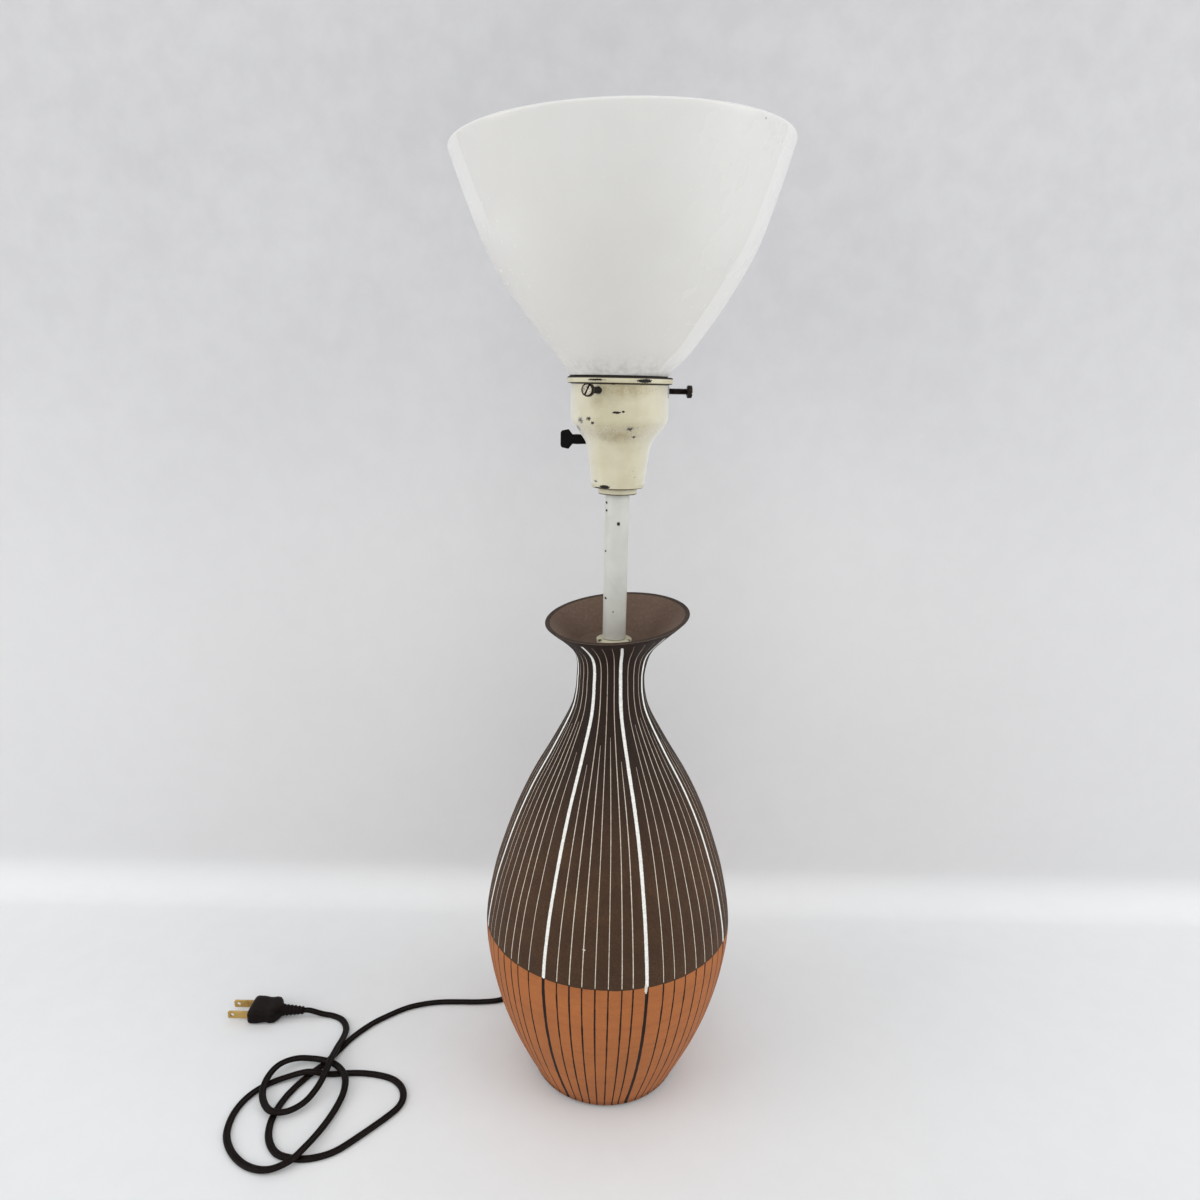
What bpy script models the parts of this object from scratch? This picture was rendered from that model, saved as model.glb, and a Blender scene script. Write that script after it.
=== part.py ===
"""Ceramic table lamp with an opal glass bowl on a turn-knob socket.

Frame: metres, +Z up, the lamp's axis is the Z axis and the table top is z = 0.
The front of the lamp looks along -Y, the switch knob points along -X and the
cord leaves the foot along +Y. Every size below is a real size in metres.
"""
import math

import bmesh
import bpy
from mathutils import Matrix, Vector, kdtree

# Clearances and cutting
GAP = 0.0003                 # between faces that touch on the real lamp
RUNNING_GAP = 0.0005         # round a shaft or a screw in its hole
CUT_OVERRUN = 0.004          # how far a cutter runs past the wall it cuts
FINE_STEPS = 48              # facets round the large turned pieces
STEPS = 24                   # facets round the small turned pieces
SMALL_STEPS = 20             # facets round rods and screws
OUTLINE_ERROR = 0.00022      # how far a turned outline may run beside its smooth curve
CAVITY_ERROR = 0.0008        # the same inside the body, which nobody sees

# Ceramic body, heights above its own foot ring
FOOT_RADIUS = 0.0562
FOOT_EASE = 0.0014           # rounding of the foot ring's lower edge
BELLY_RADIUS = 0.0889
BELLY_HEIGHT = 0.1252
NECK_RADIUS = 0.0234
NECK_HEIGHT = 0.3082
MOUTH_RADIUS = 0.0490
FLARE_HEIGHT = 0.0420        # from the neck up to the middle of the lip
MOUTH_HEIGHT = NECK_HEIGHT + FLARE_HEIGHT
BODY_WALL = 0.0060
LIP_WALL = 0.0032
CLAY_LINE_HEIGHT = 0.1267    # brown slip above it, bare orange clay below
FOOT_RING_WIDTH = 0.0085
FOOT_RECESS = 0.0160
FLOOR_THICKNESS = 0.0070
THROAT_DEPTH = 0.0190        # from the mouth's middle down to the seat of the stem
THROAT_FLOOR = 0.0060
SEAT_RADIUS = 0.0140
SLANT_RIGHT = 0.089          # the hand-made lip rises to the right
SLANT_BACK = 0.084           # and to the back
LIP_SHIFT = 0.0019           # and sits a little to the right of the neck
FELT_RADIUS = 0.0530
FELT_THICKNESS = 0.0015

# Stem: threaded pipe, cover tube, check rings and base fasteners
PIPE_RADIUS = 0.0050
PIPE_BORE_RADIUS = 0.0036
PIPE_END_BELOW_FLOOR = 0.0083
PIPE_END_IN_SOCKET = 0.0080
LOWER_RING_RADIUS = 0.0121
LOWER_RING_THICKNESS = 0.0033
TUBE_RADIUS = 0.0079
TUBE_WALL = 0.0009
TUBE_LENGTH = 0.0980
UPPER_RING_RADIUS = 0.0126
UPPER_RING_THICKNESS = 0.0040
BASE_WASHER_RADIUS = 0.0190
BASE_WASHER_THICKNESS = 0.0014
LOCK_WASHER_RADIUS = 0.0085
LOCK_WASHER_THICKNESS = 0.0012
LOCK_WASHER_SPLIT = 0.0012
NUT_ACROSS_FLATS = 0.0143
NUT_THICKNESS = 0.0040

# Fitter cup, heights above its own bottom
CUP_SHEET = 0.0010
CUP_BOTTOM_RADIUS = 0.0170
CUP_WAIST_RADIUS = 0.0205
CUP_WAIST_HEIGHT = 0.0285
CUP_WALL_RADIUS = 0.0313
CUP_SHOULDER_HEIGHT = 0.0420
CUP_BEAD_RADIUS = 0.0336
CUP_BEAD_THICKNESS = 0.0042
CUP_HEIGHT = 0.0698

# Glass bowl
GLASS_NECK_RADIUS = 0.0286
GLASS_NECK_LENGTH = 0.0282
GLASS_RIM_RADIUS = 0.1016
GLASS_BELL_HEIGHT = 0.1311
GLASS_WALL = 0.0026

# Thumb screws that hold the glass
SCREW_COUNT = 3
FIRST_SCREW_ANGLE = 4.0
SCREW_DROP = 0.0083          # screw axis below the cup's top
SCREW_RADIUS = 0.0020
SCREW_HEAD_RADIUS = 0.0040
SCREW_HEAD_THICKNESS = 0.0030
SCREW_REACH = 0.0119         # bare shank outside the cup
SCREW_SLOT_WIDTH = 0.0009
SCREW_SLOT_DEPTH = 0.0011

# Socket
SOCKET_HUB_RADIUS = 0.0072
SOCKET_HUB_HEIGHT = 0.0090
SOCKET_CAP_RADIUS = 0.0168
SOCKET_CAP_HEIGHT = 0.0165
SOCKET_CAP_WALL = 0.0008
CAP_DOME_SHARE = 0.28        # where the cap's dome and skirt begin, as shares of its height
CAP_SKIRT_SHARE = 0.72
SHELL_RADIUS = SOCKET_CAP_RADIUS - SOCKET_CAP_WALL - GAP
SHELL_WALL = 0.0006
SHELL_HEIGHT = 0.0480
SHELL_OVERLAP = 0.0035
LINER_WALL = 0.0006
SWITCH_RADIUS = 0.0136
SWITCH_HEIGHT = 0.0195
SWITCH_LIFT = 0.0185         # bottom of the switch block above the cap's bottom
SCREW_SHELL_RADIUS = 0.0138
SCREW_SHELL_WALL = 0.0004
SCREW_SHELL_HEIGHT = 0.0205
CONTACT_RADIUS = 0.0036
CONTACT_THICKNESS = 0.0014
TERMINAL_RADIUS = 0.0026
TERMINAL_THICKNESS = 0.0018
TERMINAL_OFFSET = 0.0082
SET_SCREW_RADIUS = 0.0015
SET_SCREW_LENGTH = 0.0026

# Turn knob
KNOB_LIFT = 0.0304           # knob axis above the cup's bottom
SPINDLE_RADIUS = 0.0014
SPINDLE_INSIDE = 0.0040      # spindle length inside the switch block
SPINDLE_OUTSIDE = 0.0060     # spindle length inside the knob
KNOB_STEM_RADIUS = 0.0030
KNOB_STEM_END = 0.0306       # from the lamp's axis
KNOB_PADDLE_LENGTH = 0.0070
KNOB_PADDLE_WIDTH = 0.0124
KNOB_PADDLE_THICKNESS = 0.0046
KNOB_CHAMFER = 0.0016
KNOB_WIDE_SHARE = 0.4         # where the paddle reaches its full width

# Bulb
BULB_RADIUS = 0.0238
BULB_LENGTH = 0.0870
BULB_WALL = 0.0008
BULB_NECK_RADIUS = 0.0122
BULB_BASE_RADIUS = 0.0130
BULB_BASE_HEIGHT = 0.0225
BULB_BASE_WALL = 0.0006
BULB_TIP_RADIUS = 0.0046
BULB_TIP_THICKNESS = 0.0022
GLOBE_POINTS = 8
GLOBE_STEP = 17.0            # degrees between two points of the globe's outline

# Cord: a flat twin lead, whose solids here are round with the same section
CORD_RADIUS = 0.00205
CORD_WIDTH = 0.0054
CORD_HOLE_HEIGHT = 0.0072    # above the foot ring
CORD_HOLE_RADIUS = 0.0040
BUSHING_BORE_RADIUS = 0.0024
BUSHING_FLANGE_RADIUS = 0.0056
BUSHING_FLANGE_THICKNESS = 0.0018
SLEEVE_LENGTH = 0.0200       # the tapered strain relief outside the flange
SLEEVE_START_RADIUS = 0.0044
SLEEVE_END_RADIUS = 0.0032
CONDUCTOR_RADIUS = 0.0009
COIL_CENTRE = (-0.0300, 0.1120)
COIL_OUTER_RADIUS = 0.0344
COIL_TURN_STEP = CORD_WIDTH + 0.0005
COIL_LAYER_STEP = 2 * CORD_RADIUS + 0.0005
COIL_SPIRAL_TURNS = 2.0
COIL_CLIMB_TURNS = 0.5
COIL_POINTS_PER_TURN = 24
TIE_THICKNESS = 0.0008
TIE_WIDTH = 0.0050
TIE_ANGLE = 75.0
TIE_CLEARANCE = 0.0005
PLUG_LENGTH = 0.0240
PLUG_WIDTH = 0.0230
PLUG_HEIGHT = 0.0110
PLUG_EDGE = 0.0022
PLUG_NECK_LENGTH = 0.0180    # the tapered strain relief behind the body
PLUG_NECK_RADIUS = 0.0046
PLUG_NECK_END_RADIUS = 0.0030
BLADE_SPACING = 0.0127
BLADE_THICKNESS = 0.0015
BLADE_WIDTH = 0.0063
BLADE_REACH = 0.0170
BLADE_IN_PLUG = 0.0060

# Colours as red, green and blue of the display, 0 to 1
BROWN_SLIP = (0.37, 0.31, 0.26)
ORANGE_CLAY = (0.65, 0.42, 0.28)
CREAM_PAINT = (0.77, 0.74, 0.66)
OFF_WHITE_PAINT = (0.74, 0.74, 0.71)
OPAL_GLASS = (0.82, 0.81, 0.79)
STEEL = (0.62, 0.61, 0.59)
BRASS = (0.70, 0.58, 0.33)
BLACK_PHENOLIC = (0.03, 0.03, 0.03)
CORD_BROWN = (0.10, 0.065, 0.045)
FIBRE = (0.42, 0.36, 0.28)
FELT_GREEN = (0.16, 0.22, 0.17)
FROSTED_WHITE = (0.88, 0.88, 0.86)
COPPER = (0.72, 0.45, 0.30)

# Levels of the stack, from the table upwards
BODY_BASE = FELT_THICKNESS + GAP
FLOOR_BOTTOM = BODY_BASE + FOOT_RECESS
FLOOR_TOP = FLOOR_BOTTOM + FLOOR_THICKNESS
SEAT_TOP = BODY_BASE + MOUTH_HEIGHT - THROAT_DEPTH
LOWER_RING_BASE = SEAT_TOP + GAP
TUBE_BASE = LOWER_RING_BASE + LOWER_RING_THICKNESS + GAP
UPPER_RING_BASE = TUBE_BASE + TUBE_LENGTH + GAP
CUP_BASE = UPPER_RING_BASE + UPPER_RING_THICKNESS + GAP
CUP_TOP = CUP_BASE + CUP_HEIGHT
SOCKET_BASE = CUP_BASE + CUP_SHEET + GAP
SWITCH_BASE = SOCKET_BASE + SWITCH_LIFT
SWITCH_TOP = SWITCH_BASE + SWITCH_HEIGHT
KNOB_AXIS_Z = CUP_BASE + KNOB_LIFT
SCREW_Z = CUP_TOP - SCREW_DROP
PIPE_BASE = FLOOR_BOTTOM - PIPE_END_BELOW_FLOOR
PIPE_TOP = SOCKET_BASE + PIPE_END_IN_SOCKET
PIPE_HOLE_RADIUS = PIPE_RADIUS + RUNNING_GAP
CORD_HOLE_Z = BODY_BASE + CORD_HOLE_HEIGHT
COIL_LIFT = TIE_THICKNESS + GAP
SHELL_BASE = SOCKET_BASE + SOCKET_CAP_HEIGHT - SHELL_OVERLAP

# The body's outer outline as shares of three stretches, each from its start
# to its end: (share of the rise, share of the change in radius)
FOOT_TO_BELLY_SHARES = ((0, 0), (0.06, 0.107), (0.155, 0.266), (0.31, 0.50), (0.51, 0.738),
                        (0.75, 0.927), (1, 1))
BELLY_TO_NECK_SHARES = ((0.18, 0.083), (0.317, 0.194), (0.454, 0.332), (0.59, 0.509),
                        (0.727, 0.729), (0.86, 0.925), (0.935, 0.985), (1, 1))
NECK_TO_MOUTH_SHARES = ((0.19, 0.02), (0.36, 0.08), (0.50, 0.20), (0.64, 0.40), (0.785, 0.64),
                        (0.905, 0.85), (1, 1))
# The glass bell from its neck to its rim: (share of the rise, share of the change in radius)
GLASS_BELL_SHARES = ((0, 0), (0.031, 0.038), (0.161, 0.235), (0.339, 0.474), (0.548, 0.704),
                     (0.767, 0.860), (1, 1))

# Route of the cord from the coil to the plug, chosen by hand, in metres
RUN_ROUTE = (
    (-0.0646, 0.0990, 0.0070), (-0.0655, 0.0870, 0.0043), (-0.0690, 0.0745, 0.0024),
    (-0.0765, 0.0625, 0.0021), (-0.0880, 0.0542, 0.0021), (-0.1040, 0.0515, 0.0021),
    (-0.1200, 0.0510, 0.0021), (-0.1340, 0.0505, 0.0021), (-0.1460, 0.0487, 0.0021),
    (-0.1580, 0.0450, 0.0021), (-0.1670, 0.0403, 0.0021), (-0.1755, 0.0340, 0.0021),
    (-0.1852, 0.0258, 0.0021), (-0.1935, 0.0160, 0.0021), (-0.2003, 0.0054, 0.0021),
    (-0.2060, -0.0070, 0.0021), (-0.2118, -0.0183, 0.0021), (-0.2185, -0.0280, 0.0021),
    (-0.2260, -0.0410, 0.0021), (-0.2310, -0.0550, 0.0021), (-0.2325, -0.0710, 0.0021),
    (-0.2285, -0.0860, 0.0021), (-0.2190, -0.0970, 0.0021), (-0.2060, -0.1005, 0.0021),
    (-0.1937, -0.0998, 0.0021), (-0.1804, -0.0941, 0.0021), (-0.1668, -0.0810, 0.0021),
    (-0.1529, -0.0657, 0.0021), (-0.1468, -0.0569, 0.0021), (-0.1455, -0.0487, 0.0021),
    (-0.1486, -0.0399, 0.0021), (-0.1562, -0.0328, 0.0021), (-0.1668, -0.0290, 0.0021),
    (-0.1795, -0.0272, 0.0021), (-0.1914, -0.0273, 0.0021), (-0.2051, -0.0290, 0.0027),
    (-0.2200, -0.0305, 0.0079), (-0.2350, -0.0335, 0.0042), (-0.2480, -0.0400, 0.0021),
    (-0.2570, -0.0510, 0.0021), (-0.2610, -0.0660, 0.0021), (-0.2585, -0.0830, 0.0021),
    (-0.2490, -0.0970, 0.0021), (-0.2350, -0.1070, 0.0024), (-0.2200, -0.1105, 0.0045),
    (-0.2075, -0.1050, 0.0068), (-0.2000, -0.0930, 0.0074), (-0.1953, -0.0800, 0.0056),
    (-0.1920, -0.0673, 0.0042), (-0.1898, -0.0564, 0.0046), (-0.1889, -0.0474, 0.0060),
    (-0.1905, -0.0374, 0.0073), (-0.1945, -0.0300, 0.0073), (-0.2010, -0.0235, 0.0070),
    (-0.2095, -0.0192, 0.0069), (-0.2210, -0.0170, 0.0068), (-0.2340, -0.0180, 0.0078),
    (-0.2440, -0.0260, 0.0095), (-0.2480, -0.0390, 0.0082), (-0.2455, -0.0530, 0.0066),
    (-0.2360, -0.0650, 0.0069), (-0.2240, -0.0660, 0.0068), (-0.2140, -0.0580, 0.0070),
    (-0.2085, -0.0460, 0.0092), (-0.2065, -0.0340, 0.0114), (-0.2062, -0.0215, 0.0122),
    (-0.2056, -0.0070, 0.0094), (-0.2050, 0.0060, 0.0055), (-0.2062, 0.0175, 0.0029),
    (-0.2120, 0.0270, 0.0021), (-0.2210, 0.0318, 0.0022), (-0.2300, 0.0328, 0.0036))
PLUG_END_X = -0.2450         # where the cord goes into the plug's neck
PLUG_Y = 0.0325
RUN_POINTS = 70
# Route of the short lead from the foot to the coil
LEAD_ROUTE = ((0.0012, 0.0890, 0.0076), (0.0031, 0.0960, 0.0051))
LEAD_POINTS = 7
BEND_WEIGHT = 0.0120         # how much a bend draws the cord's points together
# Where the inner cord dips from the bushing to the felt, as shares of that stretch
DIP_SHARES = (0.2, 0.4, 0.6, 0.8, 1.0)
# A conductor's way to its terminal: (share of the rise, share of the way out)
CONDUCTOR_SHARES = ((0, 0), (0.30, 0), (0.50, 0.35), (0.60, 0.75), (0.78, 1), (1, 1))


def clear_scene():
    for item in list(bpy.data.objects):
        bpy.data.objects.remove(item, do_unlink=True)
    for collection in list(bpy.data.collections):
        bpy.data.collections.remove(collection)


clear_scene()
LAMP = bpy.data.collections.new("ceramic_table_lamp")
CUTTERS = bpy.data.collections.new("cutters")
bpy.context.scene.collection.children.link(LAMP)
bpy.context.scene.collection.children.link(CUTTERS)
MATERIALS = {}


# Materials

def display_to_linear(value):
    return value / 12.92 if value <= 0.04045 else ((value + 0.055) / 1.055) ** 2.4


def material(name, colour, roughness, metallic=0.0):
    if name in MATERIALS:
        return MATERIALS[name]
    made = bpy.data.materials.new(name)
    made.use_nodes = True
    shader = made.node_tree.nodes["Principled BSDF"]
    linear = [display_to_linear(value) for value in colour]
    shader.inputs["Base Color"].default_value = (*linear, 1.0)
    shader.inputs["Roughness"].default_value = roughness
    shader.inputs["Metallic"].default_value = metallic
    made.diffuse_color = (*linear, 1.0)
    MATERIALS[name] = made
    return made


def cream_paint():
    return material("cream_paint", CREAM_PAINT, 0.45)


def steel():
    return material("worn_steel", STEEL, 0.35, 1.0)


def brass():
    return material("brass", BRASS, 0.35, 1.0)


def cord_vinyl():
    return material("brown_vinyl", CORD_BROWN, 0.5)


# Making and shaping objects

def link(item, collection=None):
    for owner in list(item.users_collection):
        owner.objects.unlink(item)
    (collection or LAMP).objects.link(item)
    return item


def smooth(item, angle=35.0):
    item.data.shade_smooth()
    item.data.set_sharp_from_angle(angle=math.radians(angle))


def object_from_mesh(name, mesh, finish, collection=None):
    item = bpy.data.objects.new(name, mesh)
    (collection or LAMP).objects.link(item)
    if finish:
        mesh.materials.append(finish)
    return item


def turned(name, outline, finish, steps=STEPS, closed=True, collection=None):
    """A turned piece: the outline's (radius, height) points run down its outer side."""
    mesh = bpy.data.meshes.new(name)
    points = [(radius, 0.0, height) for radius, height in outline]
    edges = [(i, i + 1) for i in range(len(points) - 1)]
    if closed:
        edges.append((len(points) - 1, 0))
    mesh.from_pydata(points, edges, [])
    item = object_from_mesh(name, mesh, finish, collection)
    screw = item.modifiers.new("Turn", "SCREW")
    screw.axis = "Z"
    screw.steps = steps
    screw.render_steps = steps
    screw.use_merge_vertices = True
    screw.merge_threshold = 0.00001
    screw.use_smooth_shade = False
    return settled(item, smooth_angle=35.0)


def settled(item, smooth_angle=None):
    """The same object with its modifiers applied to its mesh."""
    bpy.context.view_layer.update()
    graph = bpy.context.evaluated_depsgraph_get()
    mesh = bpy.data.meshes.new_from_object(item.evaluated_get(graph))
    item.modifiers.clear()
    item.data = mesh
    mesh.name = item.name
    if smooth_angle:
        smooth(item, smooth_angle)
    return item


def ring(name, outer, inner, base, thickness, finish, steps=STEPS, edge=0.0):
    """A flat ring or a tube with its edges eased by edge."""
    top = base + thickness
    outline = [(outer - edge, top), (outer, top - edge), (outer, base + edge), (outer - edge, base)]
    if not edge:
        outline = [(outer, top), (outer, base)]
    outline += [(inner, base), (inner, top)]
    return turned(name, outline, finish, steps)


def rod(name, radius, start, length, finish, steps=SMALL_STEPS, collection=None):
    """A plain round bar along Z."""
    outline = [(0.0, start + length), (radius, start + length), (radius, start), (0.0, start)]
    return turned(name, outline, finish, steps, closed=False, collection=collection)


def box(name, size, centre, finish=None, collection=None, edge=0.0):
    mesh = bpy.data.meshes.new(name)
    shape = bmesh.new()
    bmesh.ops.create_cube(shape, size=1.0, matrix=Matrix.Diagonal((*size, 1.0)))
    bmesh.ops.translate(shape, verts=shape.verts, vec=centre)
    if edge:
        bmesh.ops.bevel(shape, geom=list(shape.edges), offset=edge, segments=2,
                        affect="EDGES", profile=0.5)
    shape.to_mesh(mesh)
    shape.free()
    return object_from_mesh(name, mesh, finish, collection)


def cylinder_cutter(name, radius, start, end, steps=STEPS, end_radius=None):
    """A round cutter or joining piece from one point to another."""
    start, end = Vector(start), Vector(end)
    turn = (end - start).to_track_quat("Z", "Y").to_matrix().to_4x4()
    place = Matrix.Translation((start + end) / 2) @ turn
    mesh = bpy.data.meshes.new(name)
    shape = bmesh.new()
    bmesh.ops.create_cone(shape, cap_ends=True, segments=steps, radius1=radius,
                          radius2=end_radius or radius, depth=(end - start).length, matrix=place)
    shape.to_mesh(mesh)
    shape.free()
    return as_cutter(object_from_mesh(name, mesh, None, CUTTERS))


def plate(name, outline, thickness):
    """A flat outline of (x, z) points given its thickness along Y, as a cutter or joining piece."""
    curve = bpy.data.curves.new(name, "CURVE")
    curve.dimensions = "2D"
    curve.fill_mode = "BOTH"
    curve.extrude = thickness / 2
    spline = curve.splines.new("POLY")
    spline.points.add(len(outline) - 1)
    for target, (x, z) in zip(spline.points, outline):
        target.co = (x, z, 0.0, 1.0)
    spline.use_cyclic_u = True
    guide = bpy.data.objects.new(name + "_guide", curve)
    CUTTERS.objects.link(guide)
    bpy.context.view_layer.update()
    mesh = bpy.data.meshes.new_from_object(guide.evaluated_get(bpy.context.evaluated_depsgraph_get()))
    weld(mesh)
    mesh.transform(Matrix.Rotation(math.pi / 2, 4, "X"))
    bpy.data.objects.remove(guide, do_unlink=True)
    return as_cutter(object_from_mesh(name, mesh, None, CUTTERS))


def weld(mesh):
    """Joins a curve's loose caps to its sides."""
    shape = bmesh.new()
    shape.from_mesh(mesh)
    bmesh.ops.remove_doubles(shape, verts=shape.verts, dist=0.000001)
    bmesh.ops.recalc_face_normals(shape, faces=shape.faces)
    shape.to_mesh(mesh)
    shape.free()


def as_cutter(item):
    item.hide_render = True
    item.display_type = "WIRE"
    return item


def cut(item, cutter, operation="DIFFERENCE"):
    modifier = item.modifiers.new(operation.title() + " " + cutter.name, "BOOLEAN")
    modifier.operation = operation
    modifier.solver = "EXACT"
    modifier.object = cutter


def join(item, other):
    cut(item, other, "UNION")


def place(item, location=(0, 0, 0), turn=None):
    """Turns the mesh about the origin, then moves the object."""
    if turn is not None:
        item.data.transform(turn)
    item.location = location
    return item


def catmull_rom(points, samples_per_span):
    """A smooth curve through all the points, as a list of vectors."""
    points = [Vector(point) for point in points]
    ends = [2 * points[0] - points[1]] + points + [2 * points[-1] - points[-2]]
    curve = []
    for i in range(1, len(ends) - 2):
        before, here, there, after = ends[i - 1:i + 3]
        for k in range(samples_per_span):
            t = k / samples_per_span
            curve.append(0.5 * (2 * here + (there - before) * t
                                + (2 * before - 5 * here + 4 * there - after) * t * t
                                + (3 * here - 3 * there + after - before) * t ** 3))
    curve.append(points[-1])
    return curve


def evenly_spaced(curve, count, bend_weight=0.0):
    """Count points along a fine curve, at equal distances or drawn closer together in its bends."""
    lengths = [0.0]
    for i, (a, b) in enumerate(zip(curve, curve[1:])):
        step = (b - a).length
        if bend_weight and i:
            step += bend_weight * (a - curve[i - 1]).angle(b - a, 0.0)
        lengths.append(lengths[-1] + step)
    places = []
    k = 0
    for i in range(count):
        target = lengths[-1] * i / (count - 1)
        while k < len(curve) - 2 and lengths[k + 1] < target:
            k += 1
        span = lengths[k + 1] - lengths[k]
        places.append(curve[k].lerp(curve[k + 1], (target - lengths[k]) / span if span else 0.0))
    return places


def route_length(points):
    return sum((Vector(b) - Vector(a)).length for a, b in zip(points, points[1:]))


def tube(name, points, radius, finish, resolution=2):
    """A round tube with closed ends along the points, as one welded mesh."""
    curve = bpy.data.curves.new(name, "CURVE")
    curve.dimensions = "3D"
    curve.bevel_depth = radius
    curve.bevel_resolution = resolution
    curve.use_fill_caps = True
    curve.twist_mode = "MINIMUM"
    spline = curve.splines.new("POLY")
    spline.points.add(len(points) - 1)
    for target, point in zip(spline.points, points):
        target.co = (*point, 1.0)
    guide = bpy.data.objects.new(name + "_guide", curve)
    LAMP.objects.link(guide)
    bpy.context.view_layer.update()
    graph = bpy.context.evaluated_depsgraph_get()
    mesh = bpy.data.meshes.new_from_object(guide.evaluated_get(graph))
    weld(mesh)
    mesh.materials.clear()
    item = object_from_mesh(name, mesh, finish)
    item.matrix_world = guide.matrix_world
    bpy.data.objects.remove(guide, do_unlink=True)
    smooth(item, 50.0)
    return item


# Outlines

def stretch(start, end, shares):
    """Points from start to end, each a (radius, height), by shares of the two changes."""
    return [(start[0] + (end[0] - start[0]) * turn, start[1] + (end[1] - start[1]) * rise)
            for rise, turn in shares]


def offset_inwards(outline, wall):
    """The outline moved towards its inner side by the wall, square to its own slope."""
    moved = []
    for i, (radius, height) in enumerate(outline):
        before = outline[max(i - 1, 0)]
        after = outline[min(i + 1, len(outline) - 1)]
        run, rise = after[0] - before[0], after[1] - before[1]
        size = math.hypot(run, rise)
        moved.append((radius - wall * rise / size, height + wall * run / size))
    return moved


def radius_at(outline, height):
    """The radius of a rising outline at a height."""
    for (r0, z0), (r1, z1) in zip(outline, outline[1:]):
        if z0 <= height <= z1:
            return r0 + (r1 - r0) * (height - z0) / (z1 - z0)
    return outline[-1][0]


def smooth_outline(points, samples):
    return [(point.x, point.y) for point in catmull_rom([(r, z, 0.0) for r, z in points], samples)]


def thinned(outline, error=OUTLINE_ERROR):
    """The outline without the points that change it by less than the error."""
    start, end = Vector(outline[0]), Vector(outline[-1])
    way = (end - start).normalized()
    off = [abs((Vector(point) - start).cross(way)) for point in outline]
    worst = off.index(max(off))
    if off[worst] < error:
        return [outline[0], outline[-1]]
    return thinned(outline[:worst + 1], error)[:-1] + thinned(outline[worst:], error)


def body_outer_outline():
    """From the foot ring's edge up to the lip."""
    foot = (FOOT_RADIUS, BODY_BASE + FOOT_EASE)
    belly = (BELLY_RADIUS, BODY_BASE + BELLY_HEIGHT)
    neck = (NECK_RADIUS, BODY_BASE + NECK_HEIGHT)
    mouth = (MOUTH_RADIUS, BODY_BASE + MOUTH_HEIGHT)
    points = stretch(foot, belly, FOOT_TO_BELLY_SHARES)
    points += stretch(belly, neck, BELLY_TO_NECK_SHARES)
    points += stretch(neck, mouth, NECK_TO_MOUTH_SHARES)
    return [(FOOT_RADIUS - FOOT_EASE, BODY_BASE)] + thinned(smooth_outline(points, 6))


# Ceramic body and its base

def make_body():
    outer = body_outer_outline()
    cavity_top = SEAT_TOP - THROAT_FLOOR
    inner = offset_inwards(outer, BODY_WALL)
    cavity = [(radius_at(inner, FLOOR_TOP), FLOOR_TOP)]
    cavity += [point for point in inner if FLOOR_TOP < point[1] < cavity_top]
    cavity.append((radius_at(inner, cavity_top), cavity_top))
    throat_all = offset_inwards(outer, LIP_WALL)
    lip = BODY_BASE + MOUTH_HEIGHT
    throat = [point for point in throat_all if SEAT_TOP + LIP_WALL / 2 < point[1] < lip - LIP_WALL / 2]
    throat.append((MOUTH_RADIUS - LIP_WALL, lip))
    foot_inner = FOOT_RADIUS - FOOT_RING_WIDTH
    outline = list(reversed(outer))
    outline += [(foot_inner, BODY_BASE), (foot_inner, FLOOR_BOTTOM),
                (PIPE_HOLE_RADIUS, FLOOR_BOTTOM), (PIPE_HOLE_RADIUS, FLOOR_TOP)]
    outline += thinned(cavity, CAVITY_ERROR)
    outline += [(PIPE_HOLE_RADIUS, cavity_top), (PIPE_HOLE_RADIUS, SEAT_TOP),
                (SEAT_RADIUS, SEAT_TOP), (radius_at(throat_all, SEAT_TOP), SEAT_TOP)]
    outline += throat
    body = turned("ceramic_body", outline, material("brown_slip", BROWN_SLIP, 0.7), FINE_STEPS)
    slant_lip(body)
    colour_clay(body)
    hole = cylinder_cutter("cord_hole", CORD_HOLE_RADIUS, (0, foot_inner - CUT_OVERRUN, CORD_HOLE_Z),
                           (0, BELLY_RADIUS, CORD_HOLE_Z), SMALL_STEPS)
    cut(body, hole)
    seat = cylinder_cutter("bushing_seat", BUSHING_FLANGE_RADIUS + RUNNING_GAP,
                           (0, bushing_seat(), CORD_HOLE_Z), (0, BELLY_RADIUS, CORD_HOLE_Z))
    cut(body, seat)
    settled(body, 35.0)


def slant_lip(body):
    """Lifts the flare to the right and to the back and shifts it, leaving the stem's seat flat."""
    neck = BODY_BASE + NECK_HEIGHT
    for vertex in body.data.vertices:
        x, y, z = vertex.co
        if z > neck and math.hypot(x, y) > SEAT_RADIUS + GAP:
            share = min((z - neck) / FLARE_HEIGHT, 1.0)
            vertex.co.z = z + share * (SLANT_RIGHT * x + SLANT_BACK * y)
            vertex.co.x = x + share * LIP_SHIFT


def colour_clay(body):
    body.data.materials.append(material("orange_clay", ORANGE_CLAY, 0.75))
    for face in body.data.polygons:
        outside = face.center.to_2d().dot(face.normal.to_2d()) > 0 or face.center.z < FLOOR_BOTTOM
        if outside and face.center.z < BODY_BASE + CLAY_LINE_HEIGHT:
            face.material_index = 1


def make_felt():
    rod("felt_pad", FELT_RADIUS, 0.0, FELT_THICKNESS, material("green_felt", FELT_GREEN, 0.95), FINE_STEPS)


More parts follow.
